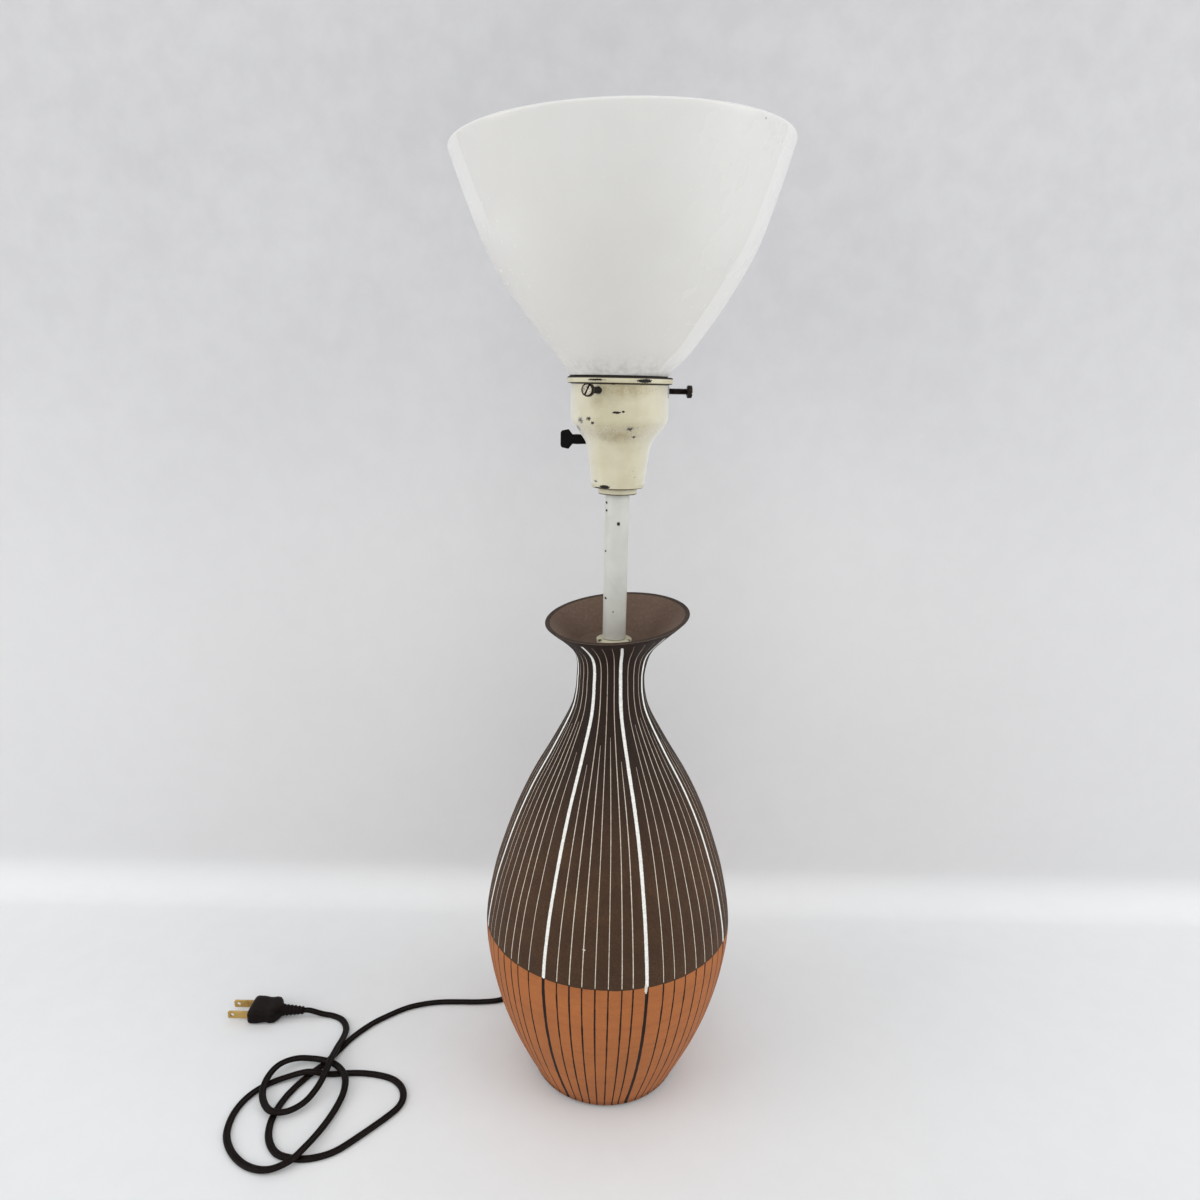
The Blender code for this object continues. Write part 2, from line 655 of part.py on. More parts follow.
def make_stem():
    ring("threaded_pipe", PIPE_RADIUS, PIPE_BORE_RADIUS, PIPE_BASE, PIPE_TOP - PIPE_BASE,
         steel(), SMALL_STEPS)
    hole = PIPE_HOLE_RADIUS
    washer_base = FLOOR_BOTTOM - GAP - BASE_WASHER_THICKNESS
    ring("base_washer", BASE_WASHER_RADIUS, hole, washer_base, BASE_WASHER_THICKNESS, steel())
    lock_base = washer_base - GAP - LOCK_WASHER_THICKNESS
    lock = ring("base_lock_washer", LOCK_WASHER_RADIUS, hole, lock_base, LOCK_WASHER_THICKNESS,
                steel(), SMALL_STEPS)
    split = box("lock_washer_split", (LOCK_WASHER_RADIUS, LOCK_WASHER_SPLIT, 3 * LOCK_WASHER_THICKNESS),
                (LOCK_WASHER_RADIUS, 0.0, lock_base + LOCK_WASHER_THICKNESS / 2), None, CUTTERS)
    cut(lock, as_cutter(split))
    nut_base = lock_base - GAP - NUT_THICKNESS
    nut_corner = NUT_ACROSS_FLATS / 2 / math.cos(math.radians(30))
    nut = rod("base_hex_nut", nut_corner, nut_base, NUT_THICKNESS, steel(), 6)
    bore = cylinder_cutter("nut_bore", hole, (0, 0, nut_base - CUT_OVERRUN),
                           (0, 0, nut_base + NUT_THICKNESS + CUT_OVERRUN), SMALL_STEPS)
    cut(nut, bore)
    paint = material("off_white_paint", OFF_WHITE_PAINT, 0.4)
    ring("lower_check_ring", LOWER_RING_RADIUS, hole, LOWER_RING_BASE, LOWER_RING_THICKNESS,
         cream_paint(), STEPS, LOWER_RING_THICKNESS / 4)
    ring("cover_tube", TUBE_RADIUS, TUBE_RADIUS - TUBE_WALL, TUBE_BASE, TUBE_LENGTH, paint)
    ring("upper_check_ring", UPPER_RING_RADIUS, hole, UPPER_RING_BASE, UPPER_RING_THICKNESS,
         cream_paint(), STEPS, UPPER_RING_THICKNESS / 4)


# Fitter cup, glass and thumb screws

def cup_bend(corner, before, after, size):
    """Three points that round a corner between two neighbours."""
    corner, before, after = Vector(corner), Vector(before), Vector(after)
    start = corner + (before - corner).normalized() * size
    end = corner + (after - corner).normalized() * size
    middle = (start + end) / 4 + corner / 2
    return [tuple(start), tuple(middle), tuple(end)]


def make_cup():
    bead_base = CUP_TOP - CUP_BEAD_THICKNESS
    shoulder = CUP_BASE + CUP_SHOULDER_HEIGHT
    waist = CUP_BASE + CUP_WAIST_HEIGHT
    ease = CUP_SHEET
    bend = 3 * CUP_SHEET
    wall, middle, foot = CUP_WALL_RADIUS, CUP_WAIST_RADIUS, CUP_BOTTOM_RADIUS
    outline = [(CUP_BEAD_RADIUS - ease, CUP_TOP), (CUP_BEAD_RADIUS, CUP_TOP - ease),
               (CUP_BEAD_RADIUS, bead_base + ease), (CUP_BEAD_RADIUS - ease, bead_base),
               (wall, bead_base)]
    outline += cup_bend((wall, shoulder), (wall, CUP_TOP), (middle, waist), bend)
    outline += cup_bend((middle, waist), (wall, shoulder), (foot, CUP_BASE), 2 * bend)
    outline += [(foot, CUP_BASE + ease / 2), (foot - ease / 2, CUP_BASE)]
    inner_wall, inner_middle = wall - CUP_SHEET, middle - CUP_SHEET
    inner_foot = foot - CUP_SHEET
    floor = CUP_BASE + CUP_SHEET
    outline += [(PIPE_HOLE_RADIUS, CUP_BASE), (PIPE_HOLE_RADIUS, floor), (inner_foot, floor)]
    outline += reversed(cup_bend((inner_middle, waist), (inner_wall, shoulder),
                                 (inner_foot, CUP_BASE), 2 * bend))
    outline += reversed(cup_bend((inner_wall, shoulder), (inner_wall, CUP_TOP),
                                 (inner_middle, waist), bend))
    outline.append((inner_wall, CUP_TOP))
    cup = turned("fitter_cup", outline, cream_paint(), FINE_STEPS)
    knob_hole = cylinder_cutter("knob_hole", KNOB_STEM_RADIUS + RUNNING_GAP,
                                (-CUP_BOTTOM_RADIUS / 2, 0, KNOB_AXIS_Z),
                                (-CUP_BEAD_RADIUS, 0, KNOB_AXIS_Z), SMALL_STEPS)
    cut(cup, knob_hole)
    for number, angle in enumerate(screw_angles(), 1):
        way = Vector((math.cos(angle), math.sin(angle), 0.0))
        level = Vector((0, 0, SCREW_Z))
        hole = cylinder_cutter(f"screw_hole_{number}", SCREW_RADIUS + RUNNING_GAP,
                               level + way * (inner_wall - CUT_OVERRUN),
                               level + way * (wall + CUT_OVERRUN), SMALL_STEPS)
        cut(cup, hole)
    settled(cup, 35.0)


def screw_angles():
    return [math.radians(FIRST_SCREW_ANGLE) - 2 * math.pi * i / SCREW_COUNT for i in range(SCREW_COUNT)]


def glass_base():
    """The height at which the glass neck's edge meets the cup's shoulder."""
    low, high = CUP_WAIST_RADIUS - CUP_SHEET, CUP_WALL_RADIUS - CUP_SHEET
    rise = CUP_SHOULDER_HEIGHT - CUP_WAIST_HEIGHT
    share = (GLASS_NECK_RADIUS + GAP - low) / (high - low)
    return CUP_BASE + CUP_WAIST_HEIGHT + share * rise + GAP


def make_glass():
    base = glass_base()
    neck_top = (GLASS_NECK_RADIUS, base + GLASS_NECK_LENGTH)
    rim = (GLASS_RIM_RADIUS, neck_top[1] + GLASS_BELL_HEIGHT)
    bell = thinned(smooth_outline(stretch(neck_top, rim, GLASS_BELL_SHARES), 6))
    outer = [(GLASS_NECK_RADIUS, base)] + bell
    inner = offset_inwards(bell, GLASS_WALL)
    inner_neck = GLASS_NECK_RADIUS - GLASS_WALL
    inner = [point for point in inner if point[0] > inner_neck and point[1] < rim[1] - GLASS_WALL]
    inner = [(inner_neck, base)] + inner
    inner.append((GLASS_RIM_RADIUS - GLASS_WALL, rim[1]))
    outline = list(reversed(outer)) + inner
    turned("glass_bowl", outline, material("opal_glass", OPAL_GLASS, 0.12), FINE_STEPS)


def make_thumb_screws():
    tip = GLASS_NECK_RADIUS + GAP
    head = CUP_WALL_RADIUS + SCREW_REACH
    end = head + SCREW_HEAD_THICKNESS
    ease = SCREW_HEAD_THICKNESS / 6
    for number, angle in enumerate(screw_angles(), 1):
        outline = [(0.0, end), (SCREW_HEAD_RADIUS - ease, end), (SCREW_HEAD_RADIUS, end - ease),
                   (SCREW_HEAD_RADIUS, head), (SCREW_RADIUS, head), (SCREW_RADIUS, tip), (0.0, tip)]
        screw = turned(f"thumb_screw_{number}", outline, steel(), SMALL_STEPS, closed=False)
        slot = box(f"screw_slot_{number}",
                   (SCREW_SLOT_WIDTH, 3 * SCREW_HEAD_RADIUS, 2 * SCREW_SLOT_DEPTH),
                   (0.0, 0.0, end), None, CUTTERS)
        turn = Matrix.Rotation(angle, 4, "Z") @ Matrix.Rotation(math.pi / 2, 4, "Y")
        place(slot, (0, 0, SCREW_Z), turn)
        place(screw, (0, 0, SCREW_Z), turn)
        bpy.context.view_layer.update()
        cut(screw, as_cutter(slot))


# Socket

def make_socket():
    cap_top = SOCKET_BASE + SOCKET_CAP_HEIGHT
    hub_top = SOCKET_BASE + SOCKET_HUB_HEIGHT
    wall = SOCKET_CAP_WALL
    dome = SOCKET_BASE + SOCKET_CAP_HEIGHT * CAP_DOME_SHARE
    skirt = SOCKET_BASE + SOCKET_CAP_HEIGHT * CAP_SKIRT_SHARE
    shallow = SOCKET_CAP_RADIUS - 2 * wall
    outline = [(SOCKET_CAP_RADIUS, cap_top), (SOCKET_CAP_RADIUS, skirt), (shallow - wall, dome),
               (SOCKET_HUB_RADIUS + 2 * wall, SOCKET_BASE), (PIPE_HOLE_RADIUS, SOCKET_BASE),
               (PIPE_HOLE_RADIUS, hub_top), (SOCKET_HUB_RADIUS, hub_top),
               (SOCKET_HUB_RADIUS, SOCKET_BASE + 2 * wall), (shallow - 2 * wall, dome + wall),
               (SOCKET_CAP_RADIUS - wall, skirt), (SOCKET_CAP_RADIUS - wall, cap_top)]
    cap = turned("socket_cap", outline, brass())
    screw_z = hub_top - SET_SCREW_RADIUS - wall
    hole = cylinder_cutter("set_screw_hole", SET_SCREW_RADIUS + GAP, (0, 0, screw_z),
                           (0, SOCKET_HUB_RADIUS + GAP, screw_z), SMALL_STEPS)
    cut(cap, hole)
    set_screw = rod("socket_set_screw", SET_SCREW_RADIUS, 0.0, SET_SCREW_LENGTH, steel())
    place(set_screw, (0, PIPE_RADIUS + GAP, screw_z), Matrix.Rotation(-math.pi / 2, 4, "X"))

    inner = SHELL_RADIUS - SHELL_WALL
    shell = ring("socket_shell", SHELL_RADIUS, inner, SHELL_BASE, SHELL_HEIGHT, brass())
    knob_slot(shell)
    liner_outer = inner - GAP
    liner = ring("insulating_liner", liner_outer, liner_outer - LINER_WALL, SHELL_BASE + GAP,
                 SHELL_HEIGHT - 3 * GAP, material("fibre_board", FIBRE, 0.85))
    knob_slot(liner)

    block = rod("switch_block", SWITCH_RADIUS, SWITCH_BASE, SWITCH_HEIGHT,
                material("black_phenolic", BLACK_PHENOLIC, 0.3), STEPS)
    bore_end = SWITCH_RADIUS - SPINDLE_INSIDE - GAP
    bore = cylinder_cutter("spindle_bore", SPINDLE_RADIUS + GAP, (-bore_end, 0, KNOB_AXIS_Z),
                           (-SWITCH_RADIUS - CUT_OVERRUN, 0, KNOB_AXIS_Z), SMALL_STEPS)
    cut(block, bore)
    rod("centre_contact", CONTACT_RADIUS, SWITCH_TOP + GAP, CONTACT_THICKNESS, brass())
    shell_inner = SCREW_SHELL_RADIUS - SCREW_SHELL_WALL
    ring("screw_shell", SCREW_SHELL_RADIUS, shell_inner, SWITCH_TOP + GAP, SCREW_SHELL_HEIGHT, brass())
    for side, name, finish in ((1, "hot_terminal_screw", brass()), (-1, "neutral_terminal_screw", steel())):
        terminal = rod(name, TERMINAL_RADIUS, SWITCH_BASE - GAP - TERMINAL_THICKNESS,
                       TERMINAL_THICKNESS, finish)
        place(terminal, (0, side * TERMINAL_OFFSET, 0))


def knob_slot(item):
    """The hole in the socket's side that the spindle comes through."""
    hole = cylinder_cutter(item.name + "_slot", KNOB_STEM_RADIUS,
                           (-SWITCH_RADIUS / 2, 0, KNOB_AXIS_Z),
                           (-SHELL_RADIUS - CUT_OVERRUN, 0, KNOB_AXIS_Z), SMALL_STEPS)
    cut(item, hole)


def make_knob():
    """The spindle and the paddle knob, on the knob's own axis."""
    axis = bpy.data.objects.new("knob_axis", None)
    LAMP.objects.link(axis)
    axis.location = (0, 0, KNOB_AXIS_Z)
    stem_start = SHELL_RADIUS + GAP
    spindle_start = SWITCH_RADIUS - SPINDLE_INSIDE
    spindle_end = stem_start + SPINDLE_OUTSIDE
    to_left = Matrix.Rotation(-math.pi / 2, 4, "Y")
    spindle = rod("switch_spindle", SPINDLE_RADIUS, spindle_start, spindle_end - spindle_start, brass())
    place(spindle, (0, 0, 0), to_left)
    knob = rod("turn_knob", KNOB_STEM_RADIUS, stem_start,
               KNOB_STEM_END - stem_start + KNOB_PADDLE_LENGTH / 2,
               material("black_phenolic", BLACK_PHENOLIC, 0.3))
    half = KNOB_PADDLE_WIDTH / 2
    corner = half - KNOB_CHAMFER / 2
    wide = KNOB_STEM_END + KNOB_PADDLE_LENGTH * KNOB_WIDE_SHARE
    end = KNOB_STEM_END + KNOB_PADDLE_LENGTH
    side = [(KNOB_STEM_RADIUS, KNOB_STEM_END - KNOB_CHAMFER), (half, wide),
            (corner, end - KNOB_CHAMFER / 2), (corner - KNOB_CHAMFER / 2, end)]
    outline = side + [(-x, z) for x, z in reversed(side)]
    paddle = plate("knob_paddle", outline, KNOB_PADDLE_THICKNESS)
    join(knob, paddle)
    settled(knob)
    bore = cylinder_cutter("knob_bore", SPINDLE_RADIUS + GAP, (0, 0, stem_start - CUT_OVERRUN),
                           (0, 0, spindle_end + GAP), SMALL_STEPS)
    cut(knob, bore)
    settled(knob, 35.0)
    place(knob, (0, 0, 0), to_left)
    for item in (spindle, knob):
        item.parent = axis


# Bulb

def make_bulb():
    tip_base = SWITCH_TOP + 2 * GAP + CONTACT_THICKNESS
    base_start = tip_base + BULB_TIP_THICKNESS + GAP
    base_end = base_start + BULB_BASE_HEIGHT
    rod("bulb_tip", BULB_TIP_RADIUS, tip_base, BULB_TIP_THICKNESS,
        material("solder", STEEL, 0.4, 1.0))
    inner = BULB_BASE_RADIUS - BULB_BASE_WALL
    outline = [(0.0, base_start + BULB_BASE_WALL), (BULB_TIP_RADIUS, base_start + BULB_BASE_WALL),
               (inner, base_start + 4 * BULB_BASE_WALL), (inner, base_end),
               (BULB_BASE_RADIUS, base_end), (BULB_BASE_RADIUS, base_start + 3 * BULB_BASE_WALL),
               (BULB_TIP_RADIUS, base_start), (0.0, base_start)]
    turned("bulb_base", outline, material("bulb_brass", BRASS, 0.3, 1.0), STEPS, closed=False)
    top = tip_base + BULB_LENGTH
    globe_z = top - BULB_RADIUS
    neck_z = base_start + BULB_BASE_HEIGHT / 2
    points = []
    for i in range(GLOBE_POINTS):
        angle = math.radians(90 - GLOBE_STEP * i)
        points.append((BULB_RADIUS * math.cos(angle), globe_z + BULB_RADIUS * math.sin(angle)))
    waist = (BULB_NECK_RADIUS - GAP, base_end)
    shoulder = ((points[-1][0] + waist[0]) / 2, (points[-1][1] + waist[1]) / 2 - BULB_WALL)
    points += [shoulder, waist, (BULB_NECK_RADIUS - GAP, neck_z)]
    inner_points = [(max(radius - BULB_WALL, 0.0), height - (BULB_WALL if height > globe_z else 0.0))
                    for i, (radius, height) in enumerate(points)]
    outline = points + list(reversed(inner_points))
    outline[0] = (0.0, outline[0][1])
    outline[-1] = (0.0, outline[-1][1])
    turned("bulb_glass", outline, material("frosted_glass", FROSTED_WHITE, 0.4), STEPS, closed=False)


# Cord, coil, tie, bushing and plug

def coil_points():
    """The coil's path: in on the lower layer, up a layer as it reverses, and out on the upper."""
    lower = CORD_RADIUS + COIL_LIFT
    inner = COIL_OUTER_RADIUS - COIL_SPIRAL_TURNS * COIL_TURN_STEP
    total = 2 * COIL_SPIRAL_TURNS + COIL_CLIMB_TURNS
    count = round(total * COIL_POINTS_PER_TURN)
    points = []
    for i in range(count + 1):
        turn = total * i / count
        climb = min(max((turn - COIL_SPIRAL_TURNS) / COIL_CLIMB_TURNS, 0.0), 1.0)
        spiral = COIL_SPIRAL_TURNS - min(turn, total - turn, COIL_SPIRAL_TURNS)
        radius = inner + spiral * COIL_TURN_STEP
        rise = (1 - math.cos(math.pi * climb)) / 2
        angle = 2 * math.pi * turn
        points.append(Vector((COIL_CENTRE[0] + radius * math.cos(angle),
                              COIL_CENTRE[1] + radius * math.sin(angle),
                              lower + rise * COIL_LAYER_STEP)))
    straight = 2 * CORD_RADIUS
    first = points[0] + Vector((0, -straight, 0))
    last = points[-1] + Vector((0, -straight, 0))
    return [first] + points + [last]


def least_gap_to_itself(points, radius, near):
    """The least gap between two stretches that lie further apart than near, and where it is."""
    tree = kdtree.KDTree(len(points))
    along = [0.0]
    for a, b in zip(points, points[1:]):
        along.append(along[-1] + (b - a).length)
    for i, point in enumerate(points):
        tree.insert(point, i)
    tree.balance()
    least, where = near, points[0]
    for i, point in enumerate(points):
        for _, j, distance in tree.find_range(point, near):
            if abs(along[i] - along[j]) > 2 * near and distance - 2 * radius < least:
                least, where = distance - 2 * radius, point
    return least, where


def print_least_gap(name, points, near):
    gap, where = least_gap_to_itself(points, CORD_RADIUS, near)
    x, y, z = where * 1000
    print(f"{name}: least gap to itself {gap * 1000:.2f} mm at {x:.1f}, {y:.1f}, {z:.1f}")


def cord_path(points, samples):
    """A smooth path through the points that never sinks into the table."""
    curve = catmull_rom(points, samples)
    for point in curve:
        point.z = max(point.z, CORD_RADIUS)
    return curve


def make_cord():
    coil = coil_points()
    print_least_gap("cord_coil", evenly_spaced(coil, 6 * len(coil)), 2 * COIL_TURN_STEP)
    tube("cord_coil", coil, CORD_RADIUS, cord_vinyl(), 1)

    start = Vector((0.0, bushing_end() + GAP, CORD_HOLE_Z))
    straight = Vector((0.0, 2 * CORD_RADIUS, 0.0))
    end = coil[0] - Vector((0.0, GAP, 0.0))
    fine_lead = cord_path([start + straight] + list(LEAD_ROUTE) + [end - straight], 12)
    lead_path = [start] + evenly_spaced(fine_lead, LEAD_POINTS) + [end]
    tube("cord_lead", lead_path, CORD_RADIUS, cord_vinyl())

    start = coil[-1] - Vector((0.0, GAP, 0.0))
    plug_z = PLUG_HEIGHT / 2
    end = Vector((PLUG_END_X + GAP, PLUG_Y, plug_z))
    square = Vector((2 * CORD_RADIUS, 0.0, 0.0))
    fine_run = cord_path([start - straight] + list(RUN_ROUTE) + [end + square], 12)
    run_path = [start] + evenly_spaced(fine_run, RUN_POINTS, BEND_WEIGHT) + [end]
    print_least_gap("cord_run", evenly_spaced(run_path, 12 * RUN_POINTS), 4 * CORD_RADIUS)
    tube("cord_run", run_path, CORD_RADIUS, cord_vinyl())
    lengths = [route_length(path) for path in (lead_path, coil, run_path)]
    print("cord length {:.3f} m: lead {:.3f}, coil {:.3f}, run {:.3f}".format(sum(lengths), *lengths))


def make_tie():
    """A flat strap round the bundle of the coil."""
    inner_radius = COIL_OUTER_RADIUS - COIL_SPIRAL_TURNS * COIL_TURN_STEP - CORD_RADIUS - TIE_CLEARANCE
    outer_radius = COIL_OUTER_RADIUS + CORD_RADIUS + TIE_CLEARANCE
    height = COIL_LAYER_STEP + 2 * CORD_RADIUS + 2 * GAP
    middle = (inner_radius + outer_radius) / 2
    size = (outer_radius - inner_radius, TIE_WIDTH, height)
    centre = (middle, 0.0, TIE_THICKNESS + height / 2)
    outside = (size[0] + 2 * TIE_THICKNESS, TIE_WIDTH, height + 2 * TIE_THICKNESS)
    tie = box("cord_tie", outside, centre, material("tie_strap", BLACK_PHENOLIC, 0.6))
    window = box("tie_window", (size[0], TIE_WIDTH + 2 * CUT_OVERRUN, size[2]), centre, None, CUTTERS)
    turn = Matrix.Rotation(math.radians(TIE_ANGLE), 4, "Z")
    for item in (tie, window):
        place(item, (*COIL_CENTRE, 0.0), turn)
    bpy.context.view_layer.update()
    cut(tie, as_cutter(window))


def bushing_seat():
    """The flat round seat pressed in the foot's back for the bushing's flange, along Y."""
    return radius_at(body_outer_outline(), CORD_HOLE_Z - BUSHING_FLANGE_RADIUS)


def bushing_face():
    """The outer face of the bushing's flange, along Y."""
    return bushing_seat() + GAP + BUSHING_FLANGE_THICKNESS


def bushing_end():
    """Where the cord leaves the bushing's tapered sleeve, along Y."""
    return bushing_face() + SLEEVE_LENGTH


def make_bushing():
    face = bushing_face()
    sleeve = CORD_HOLE_RADIUS - GAP
    flange = face - BUSHING_FLANGE_THICKNESS
    start = FOOT_RADIUS - FOOT_RING_WIDTH
    outline = [(SLEEVE_END_RADIUS, bushing_end()), (SLEEVE_START_RADIUS, face),
               (BUSHING_FLANGE_RADIUS, face), (BUSHING_FLANGE_RADIUS, flange), (sleeve, flange),
               (sleeve, start), (BUSHING_BORE_RADIUS, start), (BUSHING_BORE_RADIUS, bushing_end())]
    bushing = turned("cord_bushing", outline, material("black_rubber", BLACK_PHENOLIC, 0.6), SMALL_STEPS)
    place(bushing, (0, 0, CORD_HOLE_Z), Matrix.Rotation(-math.pi / 2, 4, "X"))


def make_inner_cord():
    """The cord inside the lamp: from the bushing under the floor and up the pipe."""
    top = PIPE_TOP + CORD_RADIUS
    reach = FOOT_RADIUS - FOOT_RING_WIDTH
    low = FELT_THICKNESS + GAP + CORD_RADIUS
    bend = PIPE_BASE - low - GAP
    drop = CORD_HOLE_Z - low
    points = [(0, bushing_end(), CORD_HOLE_Z), (0, reach, CORD_HOLE_Z)]
    for share in DIP_SHARES:
        fall = (1 - math.cos(math.pi * share)) / 2
        points.append((0, reach + (2 * bend - reach) * share, CORD_HOLE_Z - drop * fall))
    for i in range(5):
        angle = math.radians(22.5 * i)
        points.append((0, bend * (1 - math.sin(angle)), low + bend * (1 - math.cos(angle))))
    points += [(0, 0, FLOOR_TOP), (0, 0, SEAT_TOP), (0, 0, top)]
    tube("inner_cord", [Vector(point) for point in points], CORD_RADIUS, cord_vinyl())
    for side, name in ((1, "hot_conductor"), (-1, "neutral_conductor")):
        start_z = top + GAP
        rise = SWITCH_BASE - 2 * GAP - TERMINAL_THICKNESS - start_z
        near = CONDUCTOR_RADIUS + GAP
        way = TERMINAL_OFFSET - near
        points = [(0, side * (near + way * out), start_z + rise * up) for up, out in CONDUCTOR_SHARES]
        copper = material("copper", COPPER, 0.4, 1.0)
        tube(name, [Vector(point) for point in points], CONDUCTOR_RADIUS, copper)


def make_plug():
    rear = PLUG_END_X - PLUG_NECK_LENGTH
    front = rear - PLUG_LENGTH
    plug_z = PLUG_HEIGHT / 2
    plug = box("plug_body", (PLUG_LENGTH, PLUG_WIDTH, PLUG_HEIGHT),
               (rear - PLUG_LENGTH / 2, PLUG_Y, plug_z), cord_vinyl(), edge=PLUG_EDGE)
    neck = cylinder_cutter("plug_neck", PLUG_NECK_RADIUS, (rear - PLUG_EDGE, PLUG_Y, plug_z),
                           (PLUG_END_X, PLUG_Y, plug_z), SMALL_STEPS, PLUG_NECK_END_RADIUS)
    join(plug, neck)
    slot_reach = BLADE_IN_PLUG + GAP
    for side, name in ((1, "plug_blade_1"), (-1, "plug_blade_2")):
        y = PLUG_Y + side * BLADE_SPACING / 2
        slot = box(name + "_slot", (2 * slot_reach, BLADE_THICKNESS + 2 * GAP, BLADE_WIDTH + 2 * GAP),
                   (front, y, plug_z), None, CUTTERS)
        cut(plug, as_cutter(slot))
        length = BLADE_IN_PLUG + BLADE_REACH
        box(name, (length, BLADE_THICKNESS, BLADE_WIDTH),
            (front + BLADE_IN_PLUG - length / 2, y, plug_z), brass(), edge=BLADE_THICKNESS / 5)
    settled(plug, 35.0)


make_body()
make_felt()
make_stem()
make_cup()
make_glass()
make_thumb_screws()
make_socket()
make_knob()
make_bulb()
make_bushing()
make_inner_cord()
make_cord()
make_tie()
make_plug()
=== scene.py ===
"""The looks of the ceramic table lamp, in metres, in the frame of its solids.

The lamp's axis is the Z axis, the table top is z = 0 and the front looks along -Y.
Sizes come from the solids where they can be measured there, and are named values
where they can't. Outlines are lists of (radius, height), and run up their outer side.
"""

import math

import bmesh
import bpy
from mathutils import Matrix, Vector


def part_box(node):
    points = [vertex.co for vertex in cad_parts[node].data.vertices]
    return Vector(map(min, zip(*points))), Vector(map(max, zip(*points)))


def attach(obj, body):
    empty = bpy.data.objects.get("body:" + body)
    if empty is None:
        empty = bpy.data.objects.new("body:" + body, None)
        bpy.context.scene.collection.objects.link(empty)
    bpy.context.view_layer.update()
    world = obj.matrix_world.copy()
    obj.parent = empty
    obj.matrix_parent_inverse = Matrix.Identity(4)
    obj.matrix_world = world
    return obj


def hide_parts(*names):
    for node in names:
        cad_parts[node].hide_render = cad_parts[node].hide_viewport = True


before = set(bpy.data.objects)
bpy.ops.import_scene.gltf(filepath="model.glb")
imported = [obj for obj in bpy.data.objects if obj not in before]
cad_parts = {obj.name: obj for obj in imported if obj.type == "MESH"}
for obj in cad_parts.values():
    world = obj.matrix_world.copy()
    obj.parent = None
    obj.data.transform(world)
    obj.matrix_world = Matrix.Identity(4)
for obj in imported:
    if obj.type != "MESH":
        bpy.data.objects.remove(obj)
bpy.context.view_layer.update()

# Meshes
ROW_STEP = 0.004             # the most that two rows of a long wall are apart
WELD_DISTANCE = 0.000005
SMALL_STEPS = 64             # columns round a small turned piece
SMOOTH_ANGLE = 40            # degrees, a sharper edge than this stays sharp
SOFT_ANGLE = 50
ROUND_ANGLE = 60
HARD_ANGLE = 35
WOBBLE_SCALE = 14.0          # how often a hand-made wall swells and sinks

# Ceramic body: its outline, heights above its own foot ring
BODY_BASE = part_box("ceramic_body")[0].z
FOOT_RADIUS = 0.0547
FOOT_EASE = 0.0038
BELLY_RADIUS = 0.0889
BELLY_HEIGHT = 0.1252
NECK_RADIUS = 0.0234
NECK_HEIGHT = 0.3082
MOUTH_RADIUS = 0.0496
FLARE_HEIGHT = 0.0420
MOUTH_HEIGHT = NECK_HEIGHT + FLARE_HEIGHT
BODY_WALL = 0.0060
LIP_WALL = 0.0032
LIP_EASE = 0.0013
FOOT_RING_WIDTH = 0.0085
FOOT_RECESS = 0.0160
FLOOR_THICKNESS = 0.0070
THROAT_DEPTH = 0.0190
THROAT_FLOOR = 0.0060
THROAT_EASE = 0.0016
SEAT_RADIUS = 0.0140
PIPE_HOLE_RADIUS = 0.0055
SLANT_RIGHT = 0.089          # the hand-made lip rises to the right
SLANT_BACK = 0.100           # and to the back
LIP_SHIFT = 0.0019
NECK_LEAN = -0.0018          # the hand-made neck stands a little to the left
LEAN_START = 0.200
FOOT_TO_BELLY_SHARES = ((0, 0), (0.06, 0.107), (0.155, 0.266), (0.31, 0.50), (0.51, 0.738),
                        (0.75, 0.927), (1, 1))
BELLY_TO_NECK_SHARES = ((0.18, 0.083), (0.317, 0.194), (0.454, 0.332), (0.59, 0.509),
                        (0.727, 0.729), (0.86, 0.925), (0.935, 0.985), (1, 1))
NECK_TO_MOUTH_SHARES = ((0.19, 0.02), (0.36, 0.08), (0.50, 0.20), (0.64, 0.40), (0.785, 0.64),
                        (0.905, 0.85), (1, 1))
BODY_SAMPLES = 5             # rows of points between two points of the outline
CAVITY_SKIP = 6              # the hidden inside takes every sixth row

# Lines in the slip, as angles round the body from the front, positive to the right
THICK_LINE_ANGLES = (-74.5, -28.5, 16.5, 66.0, 111.0, 155.0, 199.0, 242.5)
FINE_LINE_SHARES = (         # places of the seven fine lines between two thick ones
    (0.137, 0.233, 0.352, 0.472, 0.591, 0.691, 0.830),
    (0.142, 0.267, 0.389, 0.513, 0.636, 0.762, 0.867),
    (0.154, 0.263, 0.380, 0.509, 0.630, 0.752, 0.865),
    (0.128, 0.250, 0.371, 0.498, 0.620, 0.744, 0.872))
FINE_LINE_SET = (0, 1, 2, 3, 0, 2, 1, 3)   # which set of fine lines follows each thick line
THICK_LINE_WIDTH = 0.0025
FINE_LINE_WIDTH = 0.00060
LINE_WIDTH_SPREAD = 0.12
LONG_LINE_TOP = 0.3460       # thick lines and every second fine one run up to the flare
SHORT_LINE_TOPS = (          # the other fine lines end lower
    (0.2790, 0.2800, 0.2830, 0.2655), (0.2600, 0.2720, 0.2770, 0.2630),
    (0.2590, 0.2830, 0.2860, 0.2750), (0.2680, 0.2790, 0.2740, 0.2650))
LINE_DEPTH = 0.00014         # the lines are cut a little into the slip
LINE_TWIST = (-0.184, -0.242)  # how the lines turn in the flare: all of them, and by their side
LINE_COLUMNS = 8             # columns of points from one line's middle to the next
COLUMN_GAP = 0.75            # half widths of a line from one of its columns to the next
LINE_REACH = 1.25            # half widths from a line's middle to its last column
FAR_FROM_LINE = 1.75         # added to the distance of the columns past that one
LINE_ATTRIBUTES = ("line_distance", "line_half_width", "line_top", "wall_height")
